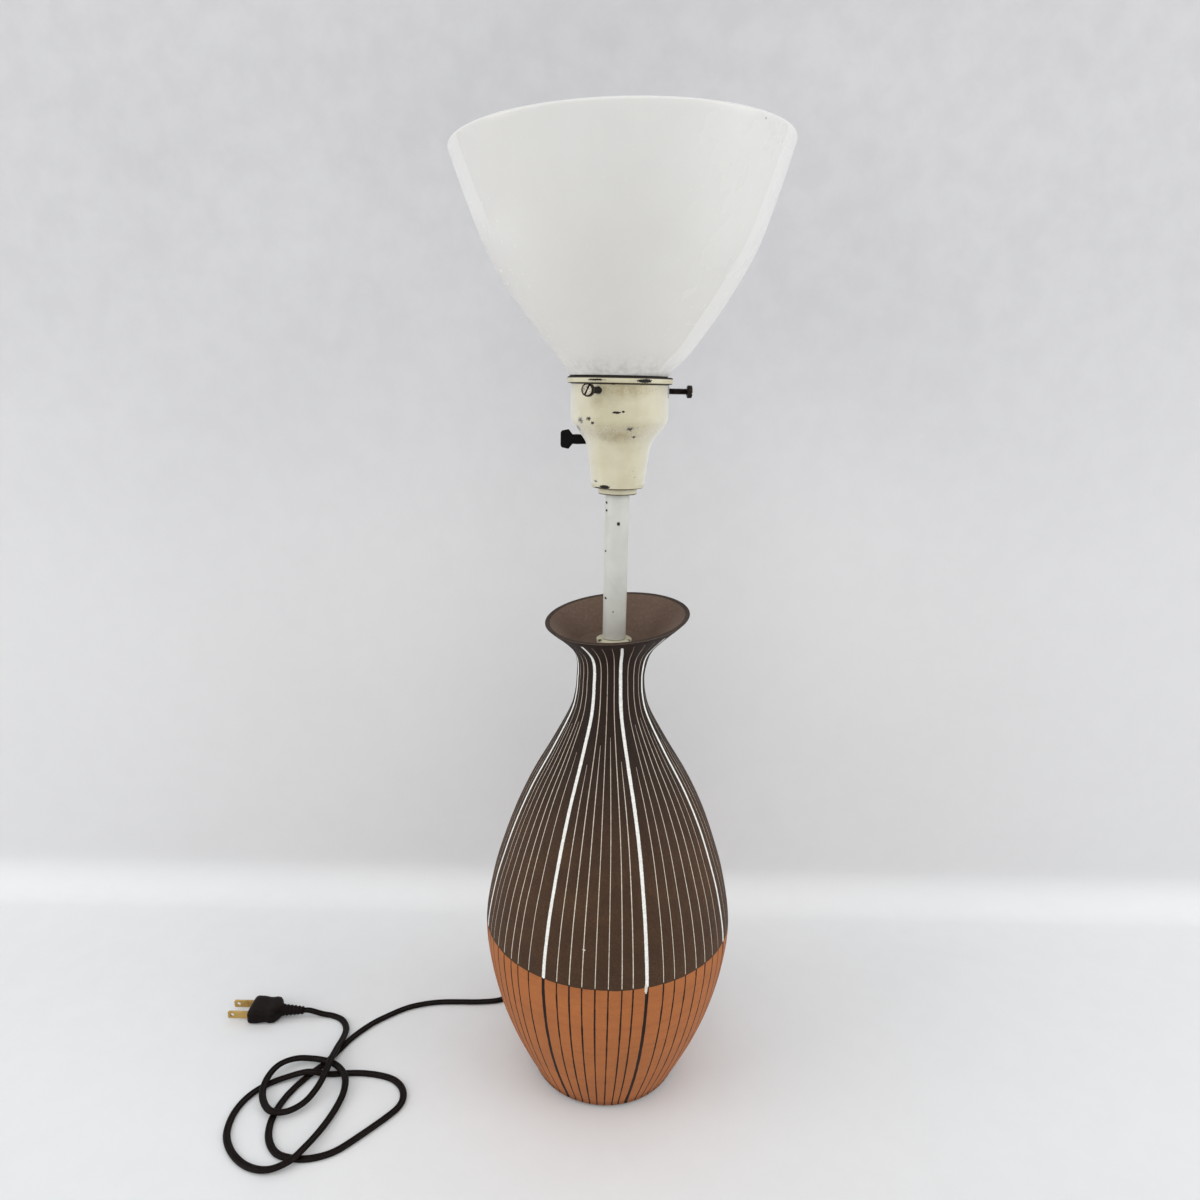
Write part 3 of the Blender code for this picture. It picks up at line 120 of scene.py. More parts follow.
LINE_TAPER = 0.020           # a line thins out over this length under its top
LINE_END = 0.0012            # the white lines stop this far above the clay
CLAY_LINE_Z = 0.1263         # brown slip above, bare orange clay below

# Glass bowl, heights above its own lower edge
GLASS_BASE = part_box("glass_bowl")[0].z
GLASS_NECK_RADIUS = 0.0286
GLASS_NECK_LENGTH = 0.0282
GLASS_RIM_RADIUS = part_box("glass_bowl")[1].x
GLASS_RIM_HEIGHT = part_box("glass_bowl")[1].z - GLASS_BASE
GLASS_WALL = 0.0026
GLASS_BELL_SHARES = ((0, 0), (0.031, 0.038), (0.161, 0.235), (0.339, 0.474), (0.548, 0.704),
                     (0.767, 0.860), (1, 1))
GLASS_RIM_EXTRA = 0.0004     # the real rim is a little wider than its solid
GLASS_DROP = 0.0010          # and the bell starts a little lower
GLASS_SHOULDER = 0.0018      # and steps out above the fitter
GLASS_TILT = (1.6, -2.1)     # degrees, front side down and right side up, held so by its screws
GLASS_LIFT = 0.0012          # the tilted neck stands on its lower side
GLASS_SHIFT = 0.0002
GLASS_LEAN = 0.0025          # the bell stands a little to the right of its neck
GLASS_LEAN_HEIGHT = 0.0140   # and does so within this height above the cup
GLASS_SAMPLES = 10
GLASS_STEPS = 256
RIM_CAP_STEPS = 8

# Stem and fitter cup
STEM_STEPS = 96
RING_EASE = 0.0009
TUBE_WALL = 0.0009
CUP_SHEET = 0.0010
CUP_BOTTOM_RADIUS = 0.0170
CUP_WAIST_RADIUS = 0.0205
CUP_WAIST_HEIGHT = 0.0285
CUP_WALL_RADIUS = 0.0313
CUP_SHOULDER_HEIGHT = 0.0420
CUP_BEAD_THICKNESS = 0.0042
CUP_STEPS = 144
HOLE_PLAY = 0.0005
SHEEN_FADE = 0.0006

# Thumb screws
SCREW_ANGLES = (4.0, -116.0, -236.0)
SCREW_RADIUS = 0.0020
SCREW_HEAD_RADIUS = 0.0040
SCREW_HEAD_THICKNESS = 0.0030
SCREW_REACH = 0.0119
SCREW_TIP_GAP = 0.0003
SCREW_SLOT_WIDTH = 0.0011
SCREW_SLOT_DEPTH = 0.0011
SCREW_SLOT_TURNS = (20.0, 62.0, -35.0)
SCREW_PITCH = 0.0008
SCREW_THREAD = 0.00022
SCREW_DARK_RIM = 0.0010     # how far the dark shank colour reaches over the head's rim
SCREW_LEVEL = Vector((0, 0, (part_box("thumb_screw_1")[0].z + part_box("thumb_screw_1")[1].z) / 2))

# Turn knob
KNOB_STEM_RADIUS = 0.0030
KNOB_STEM_END = 0.0306
KNOB_PADDLE_LENGTH = 0.0070
KNOB_PADDLE_WIDTH = 0.0124
KNOB_PADDLE_THICKNESS = 0.0046
KNOB_CHAMFER = 0.0016
KNOB_WIDE_SHARE = 0.27
KNOB_ANGLE = 38
KNOB_EDGE = 0.0003           # how softly one form of the knob turns into the next

# Lamp holder and bulb
SHELL_WALL = 0.0006
LINER_WALL = 0.0006
SCREW_SHELL_WALL = 0.0004
BULB_RADIUS = 0.0238
BULB_WALL = 0.0008
BULB_NECK_RADIUS = 0.0119
BULB_BASE_WALL = 0.0006
BULB_PITCH = 0.0036
BULB_THREAD = 0.00055
BULB_THREAD_STEP = BULB_PITCH / 12   # from one row of a thread to the next
TIP_STEPS = 48
GLOBE_POINTS = 9
GLOBE_START = -46.0          # degrees, where the globe begins above the bulb's neck

# Strain relief, tie and plug
BUSHING_FLANGE_THICKNESS = 0.0018
BUSHING_BORE_RADIUS = 0.0024
BUSHING_HOLE_RADIUS = 0.0037
SLEEVE_LENGTH = 0.0200
SLEEVE_START_RADIUS = 0.0044
SLEEVE_END_RADIUS = 0.0032
SLEEVE_RIBS = 6
SLEEVE_RIB_DEPTH = 0.0006
TIE_THICKNESS = 0.0008
TIE_WIDTH = 0.0050
TIE_CLEARANCE = 0.0005
TIE_ANGLE = 75.0
TIE_STEPS = 72
PLUG_SHAPE = (               # shares of the half width, half height and length, and squareness
    (0.90, 0.86, 0.0, 5), (0.97, 0.95, 0.03, 5.5), (1, 1, 0.10, 6), (1, 1, 0.30, 5.5),
    (0.93, 0.94, 0.50, 5), (0.93, 0.94, 0.62, 5), (0.97, 1, 0.74, 5), (0.93, 1, 0.86, 4.5),
    (0.72, 0.96, 0.95, 3.5))
PLUG_NECK_START = 0.0012
PLUG_RIB_DEPTH = 0.0005
PLUG_RIB_EDGE = 0.0002
PLUG_NECK_LENGTH = 0.0180
PLUG_NECK_RADIUS = 0.0046
PLUG_NECK_END_RADIUS = 0.0030
PLUG_NECK_RIBS = 5
BLADE_ANGLE = 30
HOLE_STEPS = 32
BLADE_HOLE_IN = 0.0036
BLADE_HOLE_RADIUS = 0.0016

# Cord: a flat twin lead
CORD_WIDTH = 0.0050
CORD_THICKNESS = 0.0025
CORD_WEB = 0.0014            # thickness of the web between the two cores
CORD_LOBE_POINTS = 9
CORD_STEP = 0.0016           # distance between two rings of points
SOLID_CORD_RADIUS = 0.00205  # the round solids have the flat lead's section
CORD_IN_RELIEF = 0.0030      # how far the lead starts inside its strain relief
COIL_CENTRE = (-0.0300, 0.1120)
COIL_OUTER_RADIUS = 0.0344
COIL_TURN_STEP = 0.0059
COIL_LAYER_STEP = 2 * SOLID_CORD_RADIUS + 0.0005
COIL_SPIRAL_TURNS = 2.0
COIL_CLIMB_TURNS = 0.5
COIL_POINTS_PER_TURN = 24
COIL_LIFT = 0.0011           # the tie's strap lies under the turns
LEAD_ROUTE = ((0.0012, 0.0890, 0.0076), (0.0031, 0.0960, 0.0051))
RUN_ROUTE = (
    (-0.0646, 0.0990, 0.0070), (-0.0655, 0.0870, 0.0043), (-0.0690, 0.0745, 0.0024),
    (-0.0765, 0.0625, 0.0021), (-0.0880, 0.0542, 0.0021), (-0.1040, 0.0515, 0.0021),
    (-0.1200, 0.0510, 0.0021), (-0.1340, 0.0505, 0.0021), (-0.1460, 0.0487, 0.0021),
    (-0.1580, 0.0450, 0.0021), (-0.1670, 0.0403, 0.0021), (-0.1755, 0.0340, 0.0021),
    (-0.1852, 0.0258, 0.0021), (-0.1935, 0.0160, 0.0021), (-0.2003, 0.0054, 0.0021),
    (-0.2060, -0.0070, 0.0021), (-0.2118, -0.0183, 0.0021), (-0.2185, -0.0280, 0.0021),
    (-0.2260, -0.0410, 0.0021), (-0.2310, -0.0550, 0.0021), (-0.2325, -0.0710, 0.0021),
    (-0.2285, -0.0860, 0.0021), (-0.2190, -0.0970, 0.0021), (-0.2060, -0.1005, 0.0021),
    (-0.1937, -0.0998, 0.0021), (-0.1804, -0.0941, 0.0021), (-0.1668, -0.0810, 0.0021),
    (-0.1529, -0.0657, 0.0021), (-0.1468, -0.0569, 0.0021), (-0.1455, -0.0487, 0.0021),
    (-0.1486, -0.0399, 0.0021), (-0.1562, -0.0328, 0.0021), (-0.1668, -0.0290, 0.0021),
    (-0.1795, -0.0272, 0.0021), (-0.1914, -0.0273, 0.0021), (-0.2051, -0.0290, 0.0027),
    (-0.2200, -0.0305, 0.0079), (-0.2350, -0.0335, 0.0042), (-0.2480, -0.0400, 0.0021),
    (-0.2570, -0.0510, 0.0021), (-0.2610, -0.0660, 0.0021), (-0.2585, -0.0830, 0.0021),
    (-0.2490, -0.0970, 0.0021), (-0.2350, -0.1070, 0.0024), (-0.2200, -0.1105, 0.0045),
    (-0.2075, -0.1050, 0.0068), (-0.2000, -0.0930, 0.0074), (-0.1953, -0.0800, 0.0056),
    (-0.1920, -0.0673, 0.0042), (-0.1898, -0.0564, 0.0046), (-0.1889, -0.0474, 0.0060),
    (-0.1905, -0.0374, 0.0073), (-0.1945, -0.0300, 0.0073), (-0.2010, -0.0235, 0.0070),
    (-0.2095, -0.0192, 0.0069), (-0.2210, -0.0170, 0.0068), (-0.2340, -0.0180, 0.0078),
    (-0.2440, -0.0260, 0.0095), (-0.2480, -0.0390, 0.0082), (-0.2455, -0.0530, 0.0066),
    (-0.2360, -0.0650, 0.0069), (-0.2240, -0.0660, 0.0068), (-0.2140, -0.0580, 0.0070),
    (-0.2085, -0.0460, 0.0092), (-0.2065, -0.0340, 0.0114), (-0.2062, -0.0215, 0.0122),
    (-0.2056, -0.0070, 0.0094), (-0.2050, 0.0060, 0.0055), (-0.2062, 0.0175, 0.0029),
    (-0.2120, 0.0270, 0.0021), (-0.2210, 0.0318, 0.0022), (-0.2300, 0.0328, 0.0036))

# Marks seen in the photograph: the pixel, three half sizes and the raggedness
BODY_MARKS = (
    ((584, 950), (0.0009, 0.0009, 0.0005), 0.5), ((646, 989), (0.0011, 0.0011, 0.0034), 0.35))
GLASS_MARKS = (((766, 118), (0.0008, 0.0008, 0.0006), 0.3),)
CUP_MARKS = (
    ((645, 381), (0.0068, 0.0030, 0.0011), 0.4), ((595, 379.5), (0.0080, 0.0030, 0.0006), 0.6),
    ((616.5, 412.7), (0.0026, 0.0016, 0.0007), 0.4),
    ((623.3, 411.7), (0.0009, 0.0010, 0.0006), 0.4),
    ((580.5, 420), (0.0014, 0.0024, 0.0016), 1.2), ((588.5, 418.7), (0.0015, 0.0016, 0.0010), 0.9),
    ((578.5, 428), (0.0013, 0.0024, 0.0032), 0.7), ((592.5, 423), (0.0009, 0.0012, 0.0009), 0.5),
    ((630, 429.3), (0.0016, 0.0012, 0.0011), 1.6), ((633.7, 437), (0.0010, 0.0010, 0.0008), 1.0),
    ((604, 487), (0.0044, 0.0030, 0.0012), 0.3), ((597.5, 487.7), (0.0040, 0.0030, 0.0005), 0.3),
    # a thin dark streak painted down the cup's right edge
    ((668.6, 391), (0.0011, 0.0050, 0.0046), 0.5),
    ((595.5, 481), (0.0020, 0.0016, 0.0006), 0.7), ((613, 384), (0.0016, 0.0016, 0.0004), 0.8))
CUP_SHADOW_AND_STAINS = (                # a screw's painted shadow; soft brown stains under the bead and below
    ((596, 398), (0.0042, 0.0060, 0.0062), 0.0), ((628, 391), (0.0160, 0.0060, 0.0050), 0.0),
    ((612, 437), (0.0110, 0.0060, 0.0045), 0.0))
TUBE_MARKS = (
    ((606.5, 502.5), (0.0009, 0.0016, 0.0009), 0.5),
    ((606.5, 510.5), (0.0008, 0.0014, 0.0008), 0.5),
    ((605.5, 598), (0.0009, 0.0016, 0.0008), 0.5), ((618.5, 524), (0.0011, 0.0012, 0.0013), 0.4),
    ((605.5, 551), (0.0008, 0.0014, 0.0007), 0.5), ((613, 612), (0.0004, 0.0008, 0.0006), 0.5))
RING_MARKS = (
    ((600, 640), (0.0018, 0.0016, 0.0010), 0.8), ((629, 640), (0.0012, 0.0012, 0.0006), 0.8))

# Colours as display values, 0 to 255, are turned into the shaders' own by shade()
DUST_COLOUR = (176, 168, 152)
GLASS_COLOURS = ((214, 213, 210), (221, 221, 219), (217, 214, 208))
GLASS_SOOT = (140, 136, 126)
GLASS_GAP_SHADE = (22, 17, 12)     # painted shade: the dark line in the gap where the glass goes into the cup
GLASS_SPECK = (150, 146, 138)
GLASS_MARK = (110, 104, 96)
BULB_COLOURS = ((222, 222, 218), (234, 234, 231))
BULB_DUST = (178, 172, 160)
CREAM_COLOURS = ((195, 188, 159), (207, 202, 176))
CREAM_SPECK = (120, 100, 70)
STAIN_DOT = (96, 76, 48)
SHADOW_AND_STAIN_BROWN = (132, 112, 70)
BARE_METAL = ((8, 6, 5), (34, 25, 18))
SHOULDER_STAIN = (168, 146, 96)
WALL_STAIN = (170, 148, 102)
# dark lines painted as shade in creases: under the bead, in the gap on its top, at the cup's foot
# and under the ring
BEAD_LINE = (46, 34, 23)
RIM_LINE = (30, 22, 16)
BOTTOM_LINE = (70, 54, 38)
RING_LINE = (54, 42, 30)
TUBE_COLOURS = ((191, 192, 184), (203, 204, 197))
TUBE_SPECK = (140, 124, 98)
TUBE_CHIP = (28, 21, 16)
SLIP_COLOURS = ((66, 46, 32), (81, 58, 41), (53, 37, 26))
SLIP_SPECK = (136, 116, 96)
SLIP_NECK = (35, 24, 19)
SLIP_INSIDE = (120, 98, 84)
SLIP_LIP = (32, 24, 19)
CLAY_COLOURS = ((158, 96, 54), (176, 108, 62), (142, 84, 49))
CLAY_SPECK = (96, 58, 38)
# painted shade: the clay darkens towards the foot
CLAY_FOOT_SHADE = (98, 62, 44)
THICK_INLAY = ((222, 220, 214), (246, 246, 242))
FINE_INLAY = ((192, 178, 160), (230, 221, 207))
FINE_INLAY_PINK = (168, 144, 126)
LINE_PAINT = ((22, 14, 11), (38, 26, 20))
BODY_MARK = (216, 208, 196)
BODY_DUST = (150, 138, 124)
FELT_COLOURS = ((34, 48, 36), (62, 82, 64))
FELT_SPECK = (120, 124, 104)
SCREW_HEAD_COLOURS = ((150, 142, 122), (206, 200, 186))
SCREW_SHANK_AND_SLOT_SHADE = ((24, 20, 17), (48, 41, 35))
SCREW_RUST = (50, 38, 29)
SCREW_BRIGHT = (196, 190, 178)
# floor, wall, mottle and high wall; the wall and the high wall are darker as painted shade
STAGE_PAPER_AND_SHADE_COLOURS = ((234, 236, 237), (216, 216, 217), (225, 225, 226), (193, 193, 196))

# Stage and light
STAGE_FRONT = 1.6
STAGE_HALF_WIDTH = 3.0
STAGE_HEIGHT = 3.0
STAGE_DROP = 0.0002
SWEEP_START = 0.175
SWEEP_RADIUS = 0.035
SWEEP_STEPS = 24
WORLD_COLOUR = (1.0, 1.0, 1.0, 1.0)
WORLD_STRENGTH = 0.62
LIGHTS = (                   # name, place, target, size, watts
    ("overhead_softbox", (0.0, -0.55, 1.9), (0, -0.1, 0.1), (1.8, 1.8), 5.2),
    ("left_softbox", (-2.0, -0.75, 1.0), (0, 0, 0.35), (1.4, 1.5), 15.4),
    ("right_softbox", (2.0, -0.75, 1.0), (0, 0, 0.35), (1.4, 1.5), 15.4),
    ("front_softbox", (0.0, -1.9, 1.1), (0, 0, 0.3), (2.2, 1.4), 5.4))

# Camera, found from the lamp's outline in the photograph
IMAGE_SIZE = 1200
LENS_PIXELS = 850
SENSOR_WIDTH = 36.0
CAMERA_PLACE = (-0.0101, -0.5587, 0.5015)
CAMERA_PITCH = 0.2430        # radians below the horizon
CAMERA_ROLL = 0.0197


def catmull_rom(points, samples):
    """A smooth curve through all the points, as a list of vectors."""
    points = [Vector(point) for point in points]
    ends = [2 * points[0] - points[1]] + points + [2 * points[-1] - points[-2]]
    curve = []
    for i in range(1, len(ends) - 2):
        before, here, there, after = ends[i - 1:i + 3]
        for k in range(samples):
            t = k / samples
            curve.append(0.5 * (2 * here + (there - before) * t
                                + (2 * before - 5 * here + 4 * there - after) * t * t
                                + (3 * here - 3 * there + after - before) * t ** 3))
    curve.append(points[-1])
    return curve


def evenly_spaced(curve, step):
    """Points along a fine curve, about a step apart, with both of its ends."""
    lengths = [0.0]
    for a, b in zip(curve, curve[1:]):
        lengths.append(lengths[-1] + (b - a).length)
    count = max(round(lengths[-1] / step), 1)
    places, k = [], 0
    for i in range(count + 1):
        target = lengths[-1] * i / count
        while k < len(curve) - 2 and lengths[k + 1] < target:
            k += 1
        span = lengths[k + 1] - lengths[k]
        places.append(curve[k].lerp(curve[k + 1], (target - lengths[k]) / span if span else 0.0))
    return places


# Camera

def make_camera():
    """The camera that took the photograph."""
    lens = bpy.data.cameras.new("photo_camera")
    lens.sensor_width = SENSOR_WIDTH
    lens.lens = SENSOR_WIDTH * LENS_PIXELS / IMAGE_SIZE
    lens.clip_start = 0.01
    camera = bpy.data.objects.new("photo_camera", lens)
    bpy.context.scene.collection.objects.link(camera)
    camera.matrix_world = (Matrix.Translation(CAMERA_PLACE)
                           @ Matrix.Rotation(math.pi / 2 - CAMERA_PITCH, 4, "X")
                           @ Matrix.Rotation(CAMERA_ROLL, 4, "Z"))
    bpy.context.scene.camera = camera


make_camera()


def seen_point(item, pixel):
    """The point of a finished piece that the photograph shows at a pixel."""
    camera = bpy.context.scene.camera
    middle = IMAGE_SIZE / 2
    ray = Vector((pixel[0] - middle, middle - pixel[1], -LENS_PIXELS))
    bpy.context.view_layer.update()
    hit, point, _, _ = item.ray_cast(Vector(CAMERA_PLACE), camera.matrix_world.to_3x3() @ ray)
    if not hit:
        raise ValueError(f"{item.name} isn't seen at {pixel}")
    return point


# Node trees

def shade(red, green, blue):
    """A display colour, 0 to 255, as the linear colour that a shader takes."""
    linear = [((part / 255 + 0.055) / 1.055) ** 2.4 if part > 10 else part / 255 / 12.92
              for part in (red, green, blue)]
    return (*linear, 1.0)


def joined(operation, swapped=False):
    """A method that joins a wire and another value by one operation."""
    def method(self, other):
        return self.math(operation, *((other, self) if swapped else (self, other)))
    return method


class Wire:
    """A value between two nodes of a graph, with arithmetic."""

    __add__, __radd__ = joined("ADD"), joined("ADD", swapped=True)
    __sub__, __rsub__ = joined("SUBTRACT"), joined("SUBTRACT", swapped=True)
    __mul__, __rmul__ = joined("MULTIPLY"), joined("MULTIPLY", swapped=True)
    __truediv__, power = joined("DIVIDE"), joined("POWER")
    least, most = joined("MINIMUM"), joined("MAXIMUM")
    below, above = joined("LESS_THAN"), joined("GREATER_THAN")

    def __init__(self, graph, socket):
        self.graph = graph
        self.socket = socket

    def math(self, operation, *values, **settings):
        return self.graph.use("ShaderNodeMath", *values, operation=operation, **settings)

    def of(self, operation):
        """An operation that takes only this value."""
        return self.math(operation, self)

    def clamped(self):
        """The value kept from 0 to 1."""
        return self.math("ADD", self, 0.0, use_clamp=True)

    def rising(self, start, end):
        """0 below start, 1 above end and a soft step between them."""
        return self.graph.use("ShaderNodeMapRange", self, start, end, 0.0, 1.0,
                              interpolation_type="SMOOTHSTEP")


class Graph:
    """Adds nodes to a tree and wires them by the order of their sockets."""

    def __init__(self, tree):
        self.tree = tree

    def feed(self, socket, value):
        """Links a wire to a socket, or sets the socket to a number or a display colour."""
        if isinstance(value, Wire):
            self.tree.links.new(value.socket, socket)
        elif socket.type == "RGBA":
            socket.default_value = shade(*value)
        else:
            socket.default_value = value

    def use(self, kind, *values, output=0, **settings):
        """Adds a node with its settings, feeds its sockets in order and gives one output."""
        node = self.tree.nodes.new(kind)
        for setting, value in settings.items():
            setattr(node, setting, value)
        sockets = [socket for socket in node.inputs if socket.enabled]
        for socket, value in zip(sockets, values):
            if value is not None:
                self.feed(socket, value)
        return Wire(self, [socket for socket in node.outputs if socket.enabled][output])

    def outputs(self, wire):
        """All the outputs of the node that the wire comes from."""
        return [Wire(self, socket) for socket in wire.socket.node.outputs if socket.enabled]

    def split(self, vector):
        """The three parts of a vector."""
        return self.outputs(self.use("ShaderNodeSeparateXYZ", vector))

    def vector(self, x, y, z):
        return self.use("ShaderNodeCombineXYZ", x, y, z)

    def noise(self, place, scale, detail, roughness, seed=None):
        """A soft random pattern; a seed sets it apart from others of its scale."""
        if seed is None:
            return self.use("ShaderNodeTexNoise", place, scale, detail, roughness)
        return self.use("ShaderNodeTexNoise", place, seed, scale, detail, roughness,
                        noise_dimensions="4D")

    def mix(self, share, low, high):
        """A mix of two colours."""
        return self.use("ShaderNodeMix", share, low, high, data_type="RGBA")

    def between(self, share, low, high):
        """A mix of two numbers."""
        return self.use("ShaderNodeMix", share, low, high, data_type="FLOAT")


def new_group(name, kind, inputs, outputs):
    """An empty node group: its tree, its graph, its inputs by name and its output node.

    A socket is given by its kind, or by a number that is its default.
    """
    tree = bpy.data.node_groups.new(name, kind)
    for side, sockets in (("INPUT", inputs), ("OUTPUT", outputs)):
        for label, given in sockets.items():
            named = isinstance(given, str)
            socket_kind = given if named else {int: "Int", float: "Float"}[type(given)]
            made = tree.interface.new_socket(label, in_out=side,
                                             socket_type="NodeSocket" + socket_kind)
            if not named:
                made.default_value = given
    graph = Graph(tree)
    source = tree.nodes.new("NodeGroupInput")
    wires = {socket.name: Wire(graph, socket) for socket in source.outputs if socket.name}
    return tree, graph, wires, tree.nodes.new("NodeGroupOutput")


def grid_of(g, outline, steps):
    """A grid with a row for each point of the outline, and each point's column and row in it."""
    rows = g.use("GeometryNodeAttributeDomainSize", outline, component="MESH")
    grid = g.use("GeometryNodeMeshGrid", 1.0, 1.0, steps + 1, rows)
    across, up, _ = g.split(g.use("GeometryNodeInputPosition"))
    return grid, ((across + 0.5) * steps).of("ROUND"), ((up + 0.5) * (rows - 1)).of("ROUND")


def point_of(g, points, number):
    """The three parts of one point's place."""
    return g.split(g.use("GeometryNodeSampleIndex", points, g.use("GeometryNodeInputPosition"),
                         number, data_type="FLOAT_VECTOR"))


def turned_tree():
    """Turns (radius, 0, height) points round the Z axis, with a thread or a wobble."""
    tree, g, given, result = new_group("Turned wall", "GeometryNodeTree", {
        "Outline": "Geometry", "Steps round": STEM_STEPS, "Thread depth": 0.0,
        "Thread pitch": 1.0, "Thread start": 0.0, "Thread end": 0.0, "Wobble": 0.0, "Seed": 0.0,
        "Finish": "Material"}, {"Wall": "Geometry"})
    steps = given["Steps round"]
    grid, column, row = grid_of(g, given["Outline"], steps)
    radius, _, height = point_of(g, given["Outline"], row)
    turn = column / steps
    phase = (height / given["Thread pitch"] - turn) * (2 * math.pi)
    inside = height.above(given["Thread start"]) * height.below(given["Thread end"])
    radius = radius + phase.of("SINE") * given["Thread depth"] * inside
    angle = turn * (2 * math.pi)
    sine, cosine = angle.of("SINE"), angle.of("COSINE")
    noise = g.noise(g.vector(radius * cosine, radius * sine, height), WOBBLE_SCALE, 1.0, 0.5,
                    given["Seed"])
    radius = radius * (1 + (noise - 0.5) * given["Wobble"])
    wall = g.use("GeometryNodeSetPosition", grid, None,
                 g.vector(radius * cosine, radius * sine, height))
    finish_mesh(g, wall, given["Finish"], result)
    return tree


def finish_mesh(g, wall, finish, result):
    """Welds a wall's seam and poles, smooths it and gives it its finish."""
    wall = g.use("GeometryNodeMergeByDistance", wall, None, WELD_DISTANCE)
    wall = g.use("GeometryNodeSetShadeSmooth", wall)
    wall = g.use("GeometryNodeSetMaterial", wall, None, finish)
    g.feed(result.inputs[0], g.use("GeometryNodeRealizeInstances", wall))


def lined_tree():
    """Turns the body's outline with columns of points that follow the lines cut in the slip."""
    tree, g, given, result = new_group("Lined body", "GeometryNodeTree", {
        "Outline": "Geometry", "Lines": "Object", "Line count": 64, "Columns a line": 8,
        "Outer rows": 10, "Cut depth": 0.0, "Cut start": 0.0, "Neck height": 0.0,
        "Flare height": 1.0, "Least radius": 0.0, "Seat radius": 0.0, "Slant right": 0.0,
        "Slant back": 0.0, "Shift": 0.0, "Lean": 0.0, "Lean start": 0.0, "Twist": 0.0,
        "Twist by side": 0.0, "Finish": "Material"}, {"Body": "Geometry"})
    columns = given["Columns a line"]
    grid, column, row = grid_of(g, given["Outline"], given["Line count"] * columns)
    line = ((column + 0.5) / columns).of("FLOOR")
    step = column - line * columns
    radius, _, height = point_of(g, given["Outline"], row)
    outside = row.below(given["Outer rows"])

    guide = g.outputs(g.use("GeometryNodeObjectInfo", given["Lines"]))[4]
    left, right = point_of(g, guide, line), point_of(g, guide, line + 1)
    least_radius = radius.most(given["Least radius"])
    from_left = (step * COLUMN_GAP).least(LINE_REACH)
    from_right = ((columns - step) * COLUMN_GAP).least(LINE_REACH)
    share = ((step - 2) / (columns - 4)).clamped()
    angle = g.between(share, left[0] + from_left * left[1] / least_radius,
                      right[0] - from_right * right[1] / least_radius)
    nearest = step.least(columns - step)
    distance = (nearest * COLUMN_GAP).least(LINE_REACH) + nearest.above(2.5) * FAR_FROM_LINE
    is_right = step.above(columns / 2)
    half_width = g.between(is_right, left[1], right[1])
    top = g.between(is_right, left[2], right[2]) * outside
    cut = (nearest.below(1.5) * outside * height.above(given["Cut start"]) * height.below(top)
           * given["Cut depth"])
    radius = radius - cut
    flare = ((height - given["Neck height"]) / given["Flare height"]).clamped()
    angle = angle + flare * (given["Twist"] + given["Twist by side"] * angle.of("SINE"))
    sine, cosine = angle.of("SINE"), angle.of("COSINE")
    x, y = radius * sine, radius * cosine * -1
    for name, value in zip(LINE_ATTRIBUTES, (distance, half_width, top, height)):
        grid = g.use("GeometryNodeStoreNamedAttribute", grid, None, name, value)
    wide = radius.above(given["Seat radius"])
    share = flare * wide
    lean = height.rising(given["Lean start"], given["Neck height"]) * (1 - flare) * wide
    height = height + share * (given["Slant right"] * x + given["Slant back"] * y)
    x = x + share * given["Shift"] + lean * given["Lean"]
    wall = g.use("GeometryNodeSetPosition", grid, None, g.vector(x, y, height))
    finish_mesh(g, wall, given["Finish"], result)
    return tree


TURNED = turned_tree()
LINED = lined_tree()


# Making meshes

def mesh_object(name, points, faces, smooth_angle=None):
    """A new object from points and faces, smooth except at edges sharper than the angle."""
    mesh = bpy.data.meshes.new(name)
    mesh.from_pydata([tuple(point) for point in points], [], faces)
    mesh.update()
    item = bpy.data.objects.new(name, mesh)
    bpy.context.scene.collection.objects.link(item)
    if smooth_angle is not None:
        smooth(item, smooth_angle)
    return item


def smooth(item, angle):
    """Shades an object smooth except at edges sharper than the angle."""
    item.data.shade_smooth()
    item.data.set_sharp_from_angle(angle=math.radians(angle))


def settled(item, smooth_angle=None):
    """The same object with its modifiers applied to its mesh."""
    bpy.context.view_layer.update()
    graph = bpy.context.evaluated_depsgraph_get()
    mesh = bpy.data.meshes.new_from_object(item.evaluated_get(graph))
    item.modifiers.clear()
    old = item.data
    item.data = mesh
    bpy.data.meshes.remove(old)
    mesh.name = item.name
    if mesh.materials and mesh.materials[0] is None:
        mesh.materials.pop(index=0)
    if smooth_angle is not None:
        smooth(item, smooth_angle)
    return item


def grown(item, tree, **inputs):
    """Adds a node tree's modifier to an object with its named inputs set, and settles it."""
    modifier = item.modifiers.new(tree.name, "NODES")
    modifier.node_group = tree
    for socket in tree.interface.items_tree:
        key = socket.name.replace(" ", "_").lower()
        if socket.in_out == "INPUT" and key in inputs:
            modifier[socket.identifier] = inputs[key]
    return settled(item)


def eased(corners, size, closed=True, steps=4):
    """An outline with its corners rounded; a corner may name its own size as a third value."""
    rounded = []
    for i, corner in enumerate(corners):
        here = Vector(corner[:2])
        own = corner[2] if len(corner) > 2 else size
        if not own or not closed and i in (0, len(corners) - 1):
            rounded.append(here)
            continue
        before = Vector(corners[i - 1][:2]) - here
        after = Vector(corners[(i + 1) % len(corners)][:2]) - here
        start = here + before.normalized() * min(own, before.length / 2)
        end = here + after.normalized() * min(own, after.length / 2)
        for k in range(steps + 1):
            t = k / steps
            rounded.append(start * (1 - t) ** 2 + here * 2 * t * (1 - t) + end * t * t)
    if closed:
        rounded.append(rounded[0].copy())
    return rounded


def rows_every(outline, step):
    """The outline with points added where two of its points are further apart than the step."""
    filled = [Vector(outline[0])]
    for a, b in zip(outline, outline[1:]):
        count = max(math.ceil((Vector(b) - Vector(a)).length / step), 1)
        filled += [Vector(a).lerp(Vector(b), (k + 1) / count) for k in range(count)]
    return filled


